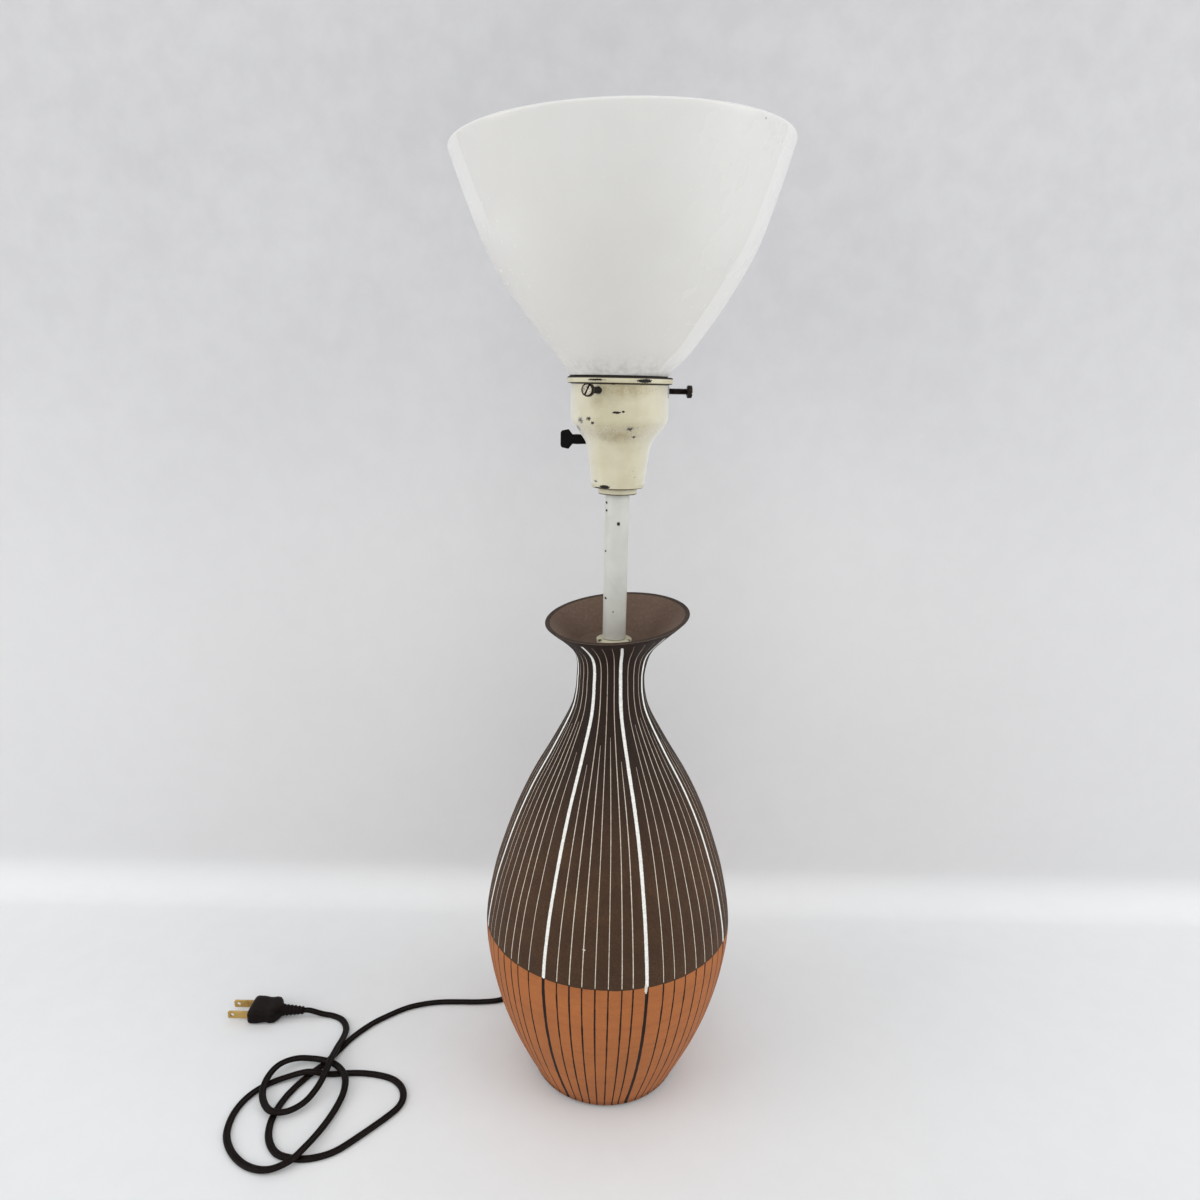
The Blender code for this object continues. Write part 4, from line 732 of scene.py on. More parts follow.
def turned(name, outline, finish, steps=STEM_STEPS, smooth_angle=SMOOTH_ANGLE, place=None,
           **thread):
    """A piece turned from an outline that runs up its outer side."""
    item = mesh_object(name, [(point[0], 0.0, point[1]) for point in outline], [])
    grown(item, TURNED, steps_round=steps, finish=finish, **thread)
    if place is not None:
        item.data.transform(place)
    smooth(item, smooth_angle)
    return item


def standing_for(item, body, slot, *nodes):
    """Puts a finished piece on its body, in place of its solids; the slot is not used."""
    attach(item, body)
    if nodes:
        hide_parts(*nodes)
    return item


def middle_height(node):
    """The height of the middle of a node's solids."""
    low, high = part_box(node)
    return (low.z + high.z) / 2


def cutter_from(shape):
    """An object for cutting, made from a shape that isn't kept."""
    mesh = bpy.data.meshes.new("cutter")
    shape.to_mesh(mesh)
    shape.free()
    item = bpy.data.objects.new("cutter", mesh)
    bpy.context.scene.collection.objects.link(item)
    return item


def rod_cutter(radius, start, end, steps=48):
    """A round bar from one point to another, for cutting."""
    start, end = Vector(start), Vector(end)
    shape = bmesh.new()
    turn = (end - start).to_track_quat("Z", "Y").to_matrix().to_4x4()
    bmesh.ops.create_cone(shape, cap_ends=True, segments=steps, radius1=radius, radius2=radius,
                          depth=(end - start).length,
                          matrix=Matrix.Translation((start + end) / 2) @ turn)
    return cutter_from(shape)


def block_cutter(size, place):
    """A block for cutting, centred on its place."""
    shape = bmesh.new()
    bmesh.ops.create_cube(shape, size=1.0, matrix=place @ Matrix.Diagonal((*size, 1.0)))
    return cutter_from(shape)


def cut(item, cutters, smooth_angle=SMOOTH_ANGLE):
    """Cuts the cutters out of a piece and removes them."""
    for cutter in cutters:
        if not cutter.data.materials:
            cutter.data.materials.append(item.data.materials[0])
        modifier = item.modifiers.new("cut", "BOOLEAN")
        modifier.operation = "DIFFERENCE"
        modifier.solver = "EXACT"
        modifier.material_mode = "TRANSFER"
        modifier.object = cutter
    settled(item, smooth_angle)
    for cutter in cutters:
        bpy.data.objects.remove(cutter, do_unlink=True)
    return item


def loft(name, sections, finish, smooth_angle=SMOOTH_ANGLE, place=None):
    """A closed skin through sections of equal point counts, each running round its own middle."""
    count = len(sections[0])
    points = [point for section in sections for point in section]
    faces = [(i * count + k, i * count + (k + 1) % count, (i + 1) * count + (k + 1) % count,
              (i + 1) * count + k) for i in range(len(sections) - 1) for k in range(count)]
    faces.append(tuple(reversed(range(count))))
    faces.append(tuple(range((len(sections) - 1) * count, len(sections) * count)))
    item = mesh_object(name, points, faces)
    if place is not None:
        item.data.transform(place)
    item.data.materials.append(finish)
    smooth(item, smooth_angle)
    return item


def rounded_section(half_x, half_y, z, squareness, count=48):
    """Points round a section at height z, from a circle or oval to a rounded rectangle."""
    section = []
    for i in range(count):
        angle = 2 * math.pi * i / count
        x, y = math.cos(angle), math.sin(angle)
        size = (abs(x) ** squareness + abs(y) ** squareness) ** (-1 / squareness)
        section.append((half_x * x * size, half_y * y * size, z))
    return section


def stretch(start, end, shares):
    """Points from start to end, each a (radius, height), by shares of the two changes."""
    return [(start[0] + (end[0] - start[0]) * turn, start[1] + (end[1] - start[1]) * rise)
            for rise, turn in shares]


def smooth_outline(points, samples):
    """A smooth outline through a few of its points."""
    return [point.to_2d() for point in catmull_rom([(r, z, 0.0) for r, z in points], samples)]


def offset_inwards(outline, wall):
    """The outline moved towards its inner side by the wall, square to its own slope."""
    moved = []
    for i, point in enumerate(outline):
        way = outline[min(i + 1, len(outline) - 1)] - outline[max(i - 1, 0)]
        moved.append(point + Vector((-way.y, way.x)).normalized() * wall)
    return moved


def radius_at(outline, height):
    """The radius of a rising outline at a height."""
    for a, b in zip(outline, outline[1:]):
        if a[1] <= height <= b[1]:
            return a[0] + (b[0] - a[0]) * (height - a[1]) / (b[1] - a[1])
    return outline[-1][0]


# Finishes

def mottle_group():
    """Two sizes of soft patches and a fine speck, from 0 to 1."""
    tree, g, given, result = new_group(
        "Mottle", "ShaderNodeTree", {"Place": "Vector", "Scale": 60.0, "Seed": 0.0},
        {"Patches": "Float", "Grain": "Float", "Specks": "Float"})
    place, scale, seed = given["Place"], given["Scale"], given["Seed"]
    patches = g.use("ShaderNodeTexNoise", place, seed, scale, 5.0, 0.55, 2.0, 0.3,
                    noise_dimensions="4D")
    grain = g.noise(place, scale * 14, 3.0, 0.6, seed + 7)
    specks = g.noise(place, scale * 30, 2.0, 0.5, seed + 13)
    g.feed(result.inputs[0], patches.rising(0.3, 0.7))
    g.feed(result.inputs[1], grain.rising(0.3, 0.7))
    g.feed(result.inputs[2], specks.rising(0.66, 0.72))
    return tree


def wear_group():
    """Where edges stick out and paint or plating wears off, from 0 to 1."""
    tree, g, given, result = new_group(
        "Edge wear", "ShaderNodeTree",
        {"Place": "Vector", "Width": 0.001, "Amount": 0.5, "Seed": 0.0}, {"Wear": "Float"})
    soft = g.use("ShaderNodeBevel", given["Width"], samples=6)
    hard = g.use("ShaderNodeNewGeometry", output=1)
    turn = 1 - g.use("ShaderNodeVectorMath", soft, hard, operation="DOT_PRODUCT", output=0)
    noise = g.noise(given["Place"], 900.0, 4.0, 0.65, given["Seed"])
    large = g.noise(given["Place"], 130.0, 2.0, 0.5, given["Seed"] + 3)
    wear = turn * 6 * given["Amount"] * large.rising(0.42, 0.62) + (noise - 0.5) * 0.8
    g.feed(result.inputs[0], wear.rising(0.45, 0.6))
    return tree


def chips_group():
    """Small ragged flakes scattered over a surface, from 0 to 1."""
    tree, g, given, result = new_group(
        "Chips", "ShaderNodeTree",
        {"Place": "Vector", "Scale": 300.0, "Share": 0.1, "Seed": 0.0}, {"Chips": "Float"})
    ragged = g.noise(given["Place"], given["Scale"], 6.0, 0.7, given["Seed"])
    where = g.noise(given["Place"], given["Scale"] * 0.18, 2.0, 0.5, given["Seed"] + 5)
    limit = 0.80 - given["Share"]
    g.feed(result.inputs[0], (ragged * 0.6 + where * 0.55 - limit).rising(0.0, 0.015))
    return tree


def mark_group():
    """One ragged mark at a place, as long as its half sizes say, and a soft halo of that size."""
    tree, g, given, result = new_group(
        "Mark", "ShaderNodeTree",
        {"Place": "Vector", "Centre": "Vector", "Half size": "Vector", "Raggedness": 0.5},
        {"Mark": "Float", "Halo": "Float"})
    away = g.use("ShaderNodeVectorMath", given["Place"], given["Centre"], operation="SUBTRACT")
    away = g.use("ShaderNodeVectorMath", away, given["Half size"], operation="DIVIDE")
    size = g.use("ShaderNodeVectorMath", away, operation="LENGTH", output=0)
    noise = g.noise(given["Place"], 1400.0, 5.0, 0.7)
    edge = size + (noise - 0.5) * given["Raggedness"] * 5
    g.feed(result.inputs[0], 1 - edge.rising(0.94, 1.02))
    g.feed(result.inputs[1], 1 - size.rising(0.1, 1.6))
    return tree


def bump_group():
    """A surface's fine grain as a normal, with a coarser wave under it."""
    tree, g, given, result = new_group(
        "Grain", "ShaderNodeTree",
        {"Place": "Vector", "Scale": 800.0, "Depth": 0.0001, "Wave": 0.2, "Dents": 0.0},
        {"Normal": "Vector"})
    fine = g.noise(given["Place"], given["Scale"], 4.0, 0.6)
    coarse = g.noise(given["Place"], given["Scale"] * 0.06, 3.0, 0.5)
    height = fine + coarse * given["Wave"] * 6 + given["Dents"]
    g.feed(result.inputs[0], g.use("ShaderNodeBump", 1.0, given["Depth"], None, height))
    return tree


def dust_group():
    """Dust that lies on faces that look up, from 0 to 1."""
    tree, g, given, result = new_group(
        "Dust", "ShaderNodeTree", {"Place": "Vector", "Amount": 0.2}, {"Dust": "Float"})
    up = g.split(g.use("ShaderNodeNewGeometry", output=1))[2]
    noise = g.noise(given["Place"], 260.0, 5.0, 0.7)
    g.feed(result.inputs[0], up.rising(0.2, 1.0) * noise.rising(0.3, 0.75) * given["Amount"])
    return tree


MOTTLE, WEAR, CHIPS, MARK = mottle_group(), wear_group(), chips_group(), mark_group()
GRAIN, DUST = bump_group(), dust_group()


class Finish:
    """A material with its shader's constants set, its graph and the object's coordinates."""

    def __init__(self, name, **constants):
        self.material = bpy.data.materials.new(name)
        self.material.use_nodes = True
        self.graph = Graph(self.material.node_tree)
        self.shader = self.material.node_tree.nodes["Principled BSDF"]
        for constant, value in constants.items():
            label = constant.replace("_", " ").title().replace("Ior", "IOR")
            self.shader.inputs[label].default_value = value
        self.place = self.graph.use("ShaderNodeTexCoord", output=3)
        self.spots = []

    def feed(self, socket, value):
        """Feeds one of the shader's sockets, by its name."""
        self.graph.feed(self.shader.inputs[socket], value)

    def noise(self, scale, detail, roughness):
        """A soft random pattern at this material's coordinates."""
        return self.graph.noise(self.place, scale, detail, roughness)

    def group(self, tree, output=0, **values):
        """A shared effect's output at this material's coordinates, with its named values set."""
        effect = self.graph.use("ShaderNodeGroup", self.place, output=output, node_tree=tree)
        for name, value in values.items():
            label = name.replace("_", " ").capitalize()
            self.graph.feed(effect.socket.node.inputs[label], value)
        return effect

    def grain(self, scale, depth, wave, dents=0.0):
        """Gives the surface its fine grain on a coarser wave, and its dents."""
        self.feed("Normal", self.group(GRAIN, scale=scale, depth=depth, wave=wave, dents=dents))

    def mottle(self, scale, seed):
        """Soft patches, a fine grain and specks."""
        return self.graph.outputs(self.group(MOTTLE, scale=scale, seed=seed))

    def marks(self, places, output=0):
        """All the marks at pixels of the photograph as one mask; find_marks() places them."""
        mask = None
        for pixel, half_size, raggedness in places:
            mark = self.group(MARK, output, half_size=half_size, raggedness=raggedness)
            self.spots.append((mark.socket.node, pixel))
            mask = mark if mask is None else mask.most(mark)
        return mask

    def find_marks(self, item):
        """Puts each mark where the photograph shows it on the finished piece."""
        for node, pixel in self.spots:
            node.inputs["Centre"].default_value = seen_point(item, pixel)


def plain_finish(name, low, high, roughness, grain=(900.0, 0.00005), wear=None, metallic=0.0,
                 scale=70.0, dust=0.12, spread=0.12, **constants):
    """A finish that wanders between two colours, with grain, dust and worn edges."""
    finish = Finish(name, metallic=metallic, **constants)
    g = finish.graph
    patches, fine, specks = finish.mottle(scale, 3.0)
    colour = g.mix(patches * 0.7 + fine * 0.3, low, high)
    rough = (patches - 0.5) * spread + (fine - 0.5) * spread + roughness
    if wear:
        bare, amount = wear
        mask = finish.group(WEAR, width=0.0009, amount=amount, seed=2.0)
        colour = g.mix(mask, colour, bare)
        rough = rough + mask * 0.08
    dirt = finish.group(DUST, amount=dust)
    colour = g.mix(dirt, colour, DUST_COLOUR)
    finish.feed("Base Color", colour)
    finish.feed("Roughness", (rough + dirt * 0.4).clamped())
    finish.grain(scale=grain[0], depth=grain[1], wave=0.25, dents=specks * 0.3)
    return finish


STEEL = plain_finish("worn_steel", (150, 147, 141), (196, 193, 187), 0.34,
                     wear=((214, 212, 208), 0.6), metallic=1.0)
BRASS = plain_finish("brass", (176, 141, 82), (205, 172, 104), 0.30,
                     wear=((222, 192, 130), 0.6), metallic=1.0)
COPPER = plain_finish("copper", (176, 104, 70), (205, 134, 98), 0.34,
                      wear=((222, 160, 126), 0.5), metallic=1.0)
SOLDER = plain_finish("solder", (150, 150, 150), (190, 190, 188), 0.42,
                      grain=(500.0, 0.0001), wear=((210, 210, 208), 0.4), metallic=1.0)
ALUMINIUM = plain_finish("aluminium", (176, 176, 174), (208, 208, 205), 0.33,
                         wear=((226, 226, 224), 0.5), metallic=1.0)
FIBRE = plain_finish("fibre_board", (104, 86, 62), (132, 110, 80), 0.85,
                     grain=(700.0, 0.00015), wear=((150, 128, 98), 0.5))
BLACK_PHENOLIC = plain_finish("black_phenolic", (6, 5, 5), (12, 11, 10), 0.42,
                              wear=((30, 27, 24), 0.3), dust=0.01, specular_ior_level=0.08)
RUBBER = plain_finish("black_rubber", (18, 17, 16), (30, 28, 26), 0.62,
                      grain=(700.0, 0.00008), wear=((50, 47, 43), 0.4), dust=0.04,
                      specular_ior_level=0.25)
VINYL = plain_finish("brown_vinyl", (12, 6, 5), (20, 11, 8), 0.45,
                     grain=(500.0, 0.00006), wear=((36, 23, 18), 0.25), dust=0.01,
                     specular_ior_level=0.10)
TIE_STRAP = plain_finish("tie_strap", (26, 25, 24), (42, 40, 38), 0.55,
                         grain=(900.0, 0.00008), wear=((70, 66, 60), 0.4))


def felt_finish():
    """Green felt with loose fibres."""
    finish = Finish("green_felt", roughness=0.95, sheen_weight=0.35, sheen_roughness=0.5,
                    specular_ior_level=0.1)
    g = finish.graph
    patches, _, specks = finish.mottle(160.0, 9.0)
    fibres = g.use("ShaderNodeTexNoise", finish.place, 2600.0, 6.0, 0.75, 2.2, 2.5)
    colour = g.mix(patches * 0.5 + fibres * 0.5, *FELT_COLOURS)
    finish.feed("Base Color", g.mix(specks * 0.5, colour, FELT_SPECK))
    finish.grain(scale=2600.0, depth=0.0003, wave=0.3, dents=fibres)
    return finish


def opal_finish(marks):
    """Polished white opal glass, a little light inside, with faint swirls and specks."""
    finish = Finish("opal_glass", ior=1.5, subsurface_weight=0.35,
                    subsurface_radius=(0.012, 0.011, 0.010), subsurface_scale=0.3,
                    specular_ior_level=0.3, coat_weight=0.05, coat_roughness=0.08,
                    sheen_roughness=0.6)
    g = finish.graph
    patches, _, specks = finish.mottle(9.0, 21.0)
    colour = g.mix(patches, *GLASS_COLOURS[:2])
    height = g.split(finish.place)[2]
    warmth = height.rising(GLASS_BASE + 0.16, GLASS_BASE + 0.02)
    colour = g.mix(warmth * 0.5, colour, GLASS_COLOURS[2])
    # painted reflection: sheen along the glass's edges as they turn away, on the right low down
    # and on both sides higher up
    facing = g.use("ShaderNodeLayerWeight", 0.5, output=1)
    start = height.rising(GLASS_BASE + 0.03, GLASS_BASE + 0.17) * 0.14 + 0.50
    high_up = height.rising(GLASS_BASE + 0.10, GLASS_BASE + 0.125)
    side = g.split(finish.place)[0].above(0.0).most(high_up)
    edge = (facing - start).rising(0.0, 0.02) * side
    cup_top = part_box("fitter_cup")[1].z
    soot = finish.noise(260.0, 5.0, 0.6).rising(0.35, 0.75)
    foot = height.rising(cup_top + 0.016, cup_top)
    colour = g.mix(soot * foot * 0.30, colour, GLASS_SOOT)
    # painted shade in the gap where the glass goes into the cup, kept dull and without sheen
    gap_shade = (height.rising(cup_top + 0.0009, cup_top + 0.0004)
           * height.rising(cup_top - 0.0026, cup_top - 0.0018))
    colour = g.mix(gap_shade, colour, GLASS_GAP_SHADE)
    colour = g.mix(specks * 0.04, colour, GLASS_SPECK)
    colour = g.mix(finish.marks(marks) * 0.5, colour, GLASS_MARK)
    finish.feed("Base Color", colour)
    finish.feed("Sheen Weight", edge * (1 - gap_shade) * 0.7)
    finish.feed("Roughness", (patches * 0.04 + specks * 0.08 + gap_shade * 0.6 + 0.24).clamped())
    finish.grain(scale=60.0, depth=0.00025, wave=0.3)
    return finish


def frosted_finish():
    """Frosted bulb glass."""
    finish = Finish("frosted_glass", ior=1.5, transmission_weight=0.25, subsurface_weight=0.2,
                    subsurface_scale=0.004)
    g = finish.graph
    patches, fine, specks = finish.mottle(40.0, 5.0)
    colour = g.mix(patches, *BULB_COLOURS)
    dust = finish.group(DUST, amount=0.15)
    finish.feed("Base Color", g.mix(dust + specks * 0.05, colour, BULB_DUST))
    finish.feed("Roughness", (fine * 0.1 + dust + 0.38).clamped())
    finish.grain(scale=2200.0, depth=0.00003, wave=0.1)
    return finish


def cream_finish(name, chips, stains_and_shade_lines, shadow_and_stains=(), sheen_span=None):
    """Old cream enamel on steel, chipped down to dark metal, with stains, painted shade and sheen.

    Each row of stains and shade lines gives its middle height, its half height, its strength, its
    colour and whether it is a sharp line: the sharp lines are painted shade in creases.
    """
    finish = Finish(name, ior=1.5, specular_ior_level=0.4, coat_roughness=0.2,
                    sheen_roughness=0.55)
    g = finish.graph
    patches, _, specks = finish.mottle(55.0, 11.0)
    colour = g.mix(patches, *CREAM_COLOURS)
    colour = g.mix(specks * 0.35, colour, CREAM_SPECK)
    height = g.split(finish.place)[2]
    stain = finish.noise(150.0, 6.0, 0.72)
    dots = finish.noise(1300.0, 3.0, 0.6)
    bare = finish.group(WEAR, width=0.0008, amount=0.42, seed=6.0).most(finish.marks(chips))
    bare = dull = bare.most(finish.group(CHIPS, scale=420.0, share=0.055, seed=4.0))
    for middle, half, amount, tint, is_shade_line in stains_and_shade_lines:
        away = (height - middle).of("ABSOLUTE") / half
        # a sharp line is painted shade in a crease
        if is_shade_line:
            line = (1 - away.rising(0.7, 1.0)) * (stain.rising(0.25, 0.40) * 0.25 + 0.75) * amount
            dull = dull.most(line)
            colour = g.mix(line, colour, tint)
            continue
        band = 1 - away.rising(0.2, 1.0)
        colour = g.mix(band * (stain.rising(0.30, 0.70) + 0.5) * amount * 0.6, colour, tint)
        colour = g.mix(band * dots.rising(0.57, 0.63) * amount * 1.4, colour, STAIN_DOT)
    # soft brown patches: a painted shadow beside a screw, and stains
    if shadow_and_stains:
        halo = finish.marks(shadow_and_stains, 1) * (stain.rising(0.35, 0.65) * 0.6 + 0.4)
        colour = g.mix(halo * 0.45, colour, SHADOW_AND_STAIN_BROWN)
    metal = g.mix(finish.noise(2400.0, 3.0, 0.6), *BARE_METAL)
    finish.feed("Base Color", g.mix(bare, colour, metal))
    finish.feed("Coat Weight", (1 - dull) * 0.1)
    if sheen_span:
        low, high = sheen_span
        facing = g.use("ShaderNodeLayerWeight", 0.5, output=1)
        span = height.rising(low, low + SHEEN_FADE) * height.rising(high, high - SHEEN_FADE)
        finish.feed("Sheen Weight", facing.rising(0.10, 0.45) * span)
    finish.feed("Roughness", (patches * 0.1 + dull * 0.45 + specks * 0.2 + 0.27).clamped())
    finish.grain(scale=420.0, depth=0.00012, wave=0.3, dents=bare * -1.6)
    return finish


def off_white_finish(chips):
    """The tube's thinner off-white paint, with a few chips."""
    finish = Finish("off_white_paint", ior=1.5, specular_ior_level=0.4)
    g = finish.graph
    patches, _, specks = finish.mottle(48.0, 17.0)
    colour = g.mix(patches, *TUBE_COLOURS)
    colour = g.mix(specks * 0.2, colour, TUBE_SPECK)
    bare = finish.group(WEAR, width=0.0006, amount=0.35, seed=8.0).most(finish.marks(chips))
    bare = bare.most(finish.group(CHIPS, scale=380.0, share=0.075, seed=9.0))
    finish.feed("Base Color", g.mix(bare, colour, TUBE_CHIP))
    finish.feed("Roughness", (patches * 0.1 + bare * 0.4 + 0.30).clamped())
    finish.grain(scale=420.0, depth=0.0001, wave=0.25, dents=bare * -1.2)
    return finish


def stoneware_finish(marks):
    """Brown slip with white lines inlaid, over bare orange clay with dark lines painted on it."""
    finish = Finish("brown_slip_and_orange_clay", ior=1.45, specular_ior_level=0.20)
    g = finish.graph
    x, y, z = g.split(finish.place)
    patches, fine, specks = finish.mottle(42.0, 31.0)
    distance, half_width, top, height = (
        g.use("ShaderNodeAttribute", output=2, attribute_name=name) for name in LINE_ATTRIBUTES)
    ragged = finish.noise(1300.0, 4.0, 0.65) - 0.5
    slow = finish.noise(90.0, 2.0, 0.5) - 0.5
    thick = half_width.above((THICK_LINE_WIDTH + FINE_LINE_WIDTH) / 4)

    edge = height + ragged * 0.0008 + slow * 0.0012
    clay = 1 - edge.rising(CLAY_LINE_Z - 0.00015, CLAY_LINE_Z + 0.00015)
    over = (height - top + half_width).most(0.0)
    under = (CLAY_LINE_Z + LINE_END - height).most(0.0)
    away = ((over.most(under) / half_width).power(2.0) + distance.power(2.0)).of("SQRT")
    taper = thick.most(((top - height) / LINE_TAPER).clamped() * 0.6 + 0.4)
    inlay = 1 - (away / taper + ragged * 0.55 + slow * 0.3).rising(0.80, 1.02)
    painted_away = distance + ragged * 0.5 + slow * 0.6
    paint = (1 - (painted_away + thick * 0.45).rising(1.30, 1.50)) * clay * top.above(0.01)

    slip = g.mix(patches, *SLIP_COLOURS[:2])
    slip = g.mix(fine * 0.5, slip, SLIP_COLOURS[2])
    slip = g.mix(specks * 0.28, slip, SLIP_SPECK)
    slip = g.mix(height.rising(0.18, 0.28) * 0.95, slip, SLIP_NECK)
    sandy = finish.noise(480.0, 5.0, 0.7).rising(0.45, 0.75)
    inside = 1 - top.above(0.01)
    slip = g.mix(inside * (sandy * 0.25 + 0.62), slip, SLIP_INSIDE)
    lip_height = BODY_BASE + MOUTH_HEIGHT
    slip = g.mix(height.rising(lip_height - 0.0006, lip_height - 0.0002) * 0.8, slip, SLIP_LIP)
    bare_clay = g.mix(patches * 0.6 + fine * 0.4, *CLAY_COLOURS[:2])
    rings = g.noise(g.vector(x * 0.02, y * 0.02, z), 420.0, 3.0, 0.6)
    bare_clay = g.mix(rings.rising(0.45, 0.75) * 0.35, bare_clay, CLAY_COLOURS[2])
    bare_clay = g.mix(specks * 0.5, bare_clay, CLAY_SPECK)
    # painted shade over the lowest centimetre of clay, by the foot
    foot_shade = height.rising(BODY_BASE + 0.010, BODY_BASE + 0.001)
    bare_clay = g.mix(foot_shade * 0.55, bare_clay, CLAY_FOOT_SHADE)

    pink = height.rising(CLAY_LINE_Z + 0.05, CLAY_LINE_Z + 0.2)
    thin = g.mix(pink * 0.6, g.mix(fine, *FINE_INLAY), FINE_INLAY_PINK)
    inlaid = g.mix(thick, thin, g.mix(fine, *THICK_INLAY))
    worn_off = ragged.rising(0.14, 0.2) * (1 - thick) * 0.6

    colour = g.mix(clay, slip, bare_clay)
    colour = g.mix(paint, colour, g.mix(fine, *LINE_PAINT))
    colour = g.mix(inlay * (1 - worn_off), colour, inlaid)
    colour = g.mix(finish.marks(marks), colour, BODY_MARK)
    dirt = finish.group(DUST, amount=0.08)
    finish.feed("Base Color", g.mix(dirt, colour, BODY_DUST))
    finish.feed("Roughness", (patches * 0.08 + fine * 0.06 + 0.60).clamped())
    throwing = rings * 0.5 * (1 - clay * 0.4)
    dents = throwing + paint * 0.25 + inlay * -0.6
    finish.grain(scale=1100.0, depth=0.00010, wave=0.16, dents=dents)
    return finish


# Ceramic body

def body_outline():
    """The body's closed outline from its foot up the outside, and how many rows lie outside."""
    foot = (FOOT_RADIUS, BODY_BASE + FOOT_EASE)
    belly = (BELLY_RADIUS, BODY_BASE + BELLY_HEIGHT)
    neck = (NECK_RADIUS, BODY_BASE + NECK_HEIGHT)
    mouth = (MOUTH_RADIUS, BODY_BASE + MOUTH_HEIGHT)
    points = stretch(foot, belly, FOOT_TO_BELLY_SHARES)
    points += stretch(belly, neck, BELLY_TO_NECK_SHARES)
    points += stretch(neck, mouth, NECK_TO_MOUTH_SHARES)
    wall = smooth_outline(points, BODY_SAMPLES)
    lip = BODY_BASE + MOUTH_HEIGHT
    lip_start = lip - 2 * LIP_EASE
    outer = [point for point in wall if point.y < lip_start]
    seat_top = lip - THROAT_DEPTH
    throat = offset_inwards(wall, LIP_WALL)
    down = [point for point in reversed(throat) if seat_top + LIP_WALL / 2 < point.y < lip_start]
    cap = eased([(*outer[-1], 0), (MOUTH_RADIUS, lip), (MOUTH_RADIUS - LIP_WALL, lip),
                 (*down[0], 0)], LIP_EASE, closed=False, steps=5)[1:-1]
    cavity_top = seat_top - THROAT_FLOOR
    floor_bottom = BODY_BASE + FOOT_RECESS
    floor_top = floor_bottom + FLOOR_THICKNESS
    inner = offset_inwards(wall, BODY_WALL)
    cavity = [point for point in reversed(inner) if floor_top < point.y < cavity_top]
    hole = PIPE_HOLE_RADIUS
    foot_inner = FOOT_RADIUS - FOOT_RING_WIDTH
    start = eased([(foot_inner, floor_bottom, 0), (foot_inner, BODY_BASE),
                   (FOOT_RADIUS, BODY_BASE), (FOOT_RADIUS, BODY_BASE + 4 * FOOT_EASE, 0)],
                  FOOT_EASE, closed=False)[1:-1]
    outside = start + outer[1:]
    inside = down + eased([(radius_at(throat, seat_top) + LIP_WALL, seat_top + 2 * LIP_WALL, 0),
                            (radius_at(throat, seat_top), seat_top), (SEAT_RADIUS, seat_top)],
                           THROAT_EASE, closed=False)[1:]
    inside += [(hole, seat_top), (hole, cavity_top), (radius_at(inner, cavity_top), cavity_top)]
    inside += cavity[::CAVITY_SKIP]
    inside += [(radius_at(inner, floor_top), floor_top), (hole, floor_top),
               (hole, floor_bottom), (foot_inner, floor_bottom)]
    return outside + cap + inside + [outside[0]], len(outside)


def line_guide():
    """One point for each line round the body: its angle, half its width and its top."""
    points = []
    angles = list(THICK_LINE_ANGLES) + [THICK_LINE_ANGLES[0] + 360.0]
    for i, kind in enumerate(FINE_LINE_SET):
        start, span = angles[i], angles[i + 1] - angles[i]
        points.append((math.radians(start), THICK_LINE_WIDTH / 2, LONG_LINE_TOP))
        for k, share in enumerate(FINE_LINE_SHARES[kind]):
            top = SHORT_LINE_TOPS[kind][k // 2] if k % 2 == 0 else LONG_LINE_TOP
            width = FINE_LINE_WIDTH * (1 + LINE_WIDTH_SPREAD * math.sin(5.0 * k + 3.0 * i))
            points.append((math.radians(start + span * share), width / 2, top))
    points.append((math.radians(angles[-1]), THICK_LINE_WIDTH / 2, LONG_LINE_TOP))
    return mesh_object("line_guide", points, [])


def make_body():
    """The thrown body, turned round the lines that are cut into its slip."""
    outline, outer_rows = body_outline()
    guide = line_guide()
    body = mesh_object("ceramic_body_looks", [(point[0], 0.0, point[1]) for point in outline], [])
    finish = stoneware_finish(BODY_MARKS)
    grown(body, LINED, lines=guide, line_count=len(guide.data.vertices) - 1,
          columns_a_line=LINE_COLUMNS, outer_rows=outer_rows, cut_depth=LINE_DEPTH,
          cut_start=CLAY_LINE_Z, neck_height=BODY_BASE + NECK_HEIGHT, flare_height=FLARE_HEIGHT,
          least_radius=NECK_RADIUS, seat_radius=SEAT_RADIUS, slant_right=SLANT_RIGHT,
          slant_back=SLANT_BACK, shift=LIP_SHIFT, lean=NECK_LEAN, lean_start=LEAN_START,
          twist=LINE_TWIST[0], twist_by_side=LINE_TWIST[1], finish=finish.material)
    bpy.data.objects.remove(guide, do_unlink=True)
    smooth(body, SOFT_ANGLE)
    finish.find_marks(body)
    return standing_for(body, "lamp", "brown_slip_and_orange_clay", "ceramic_body")


# Glass bowl

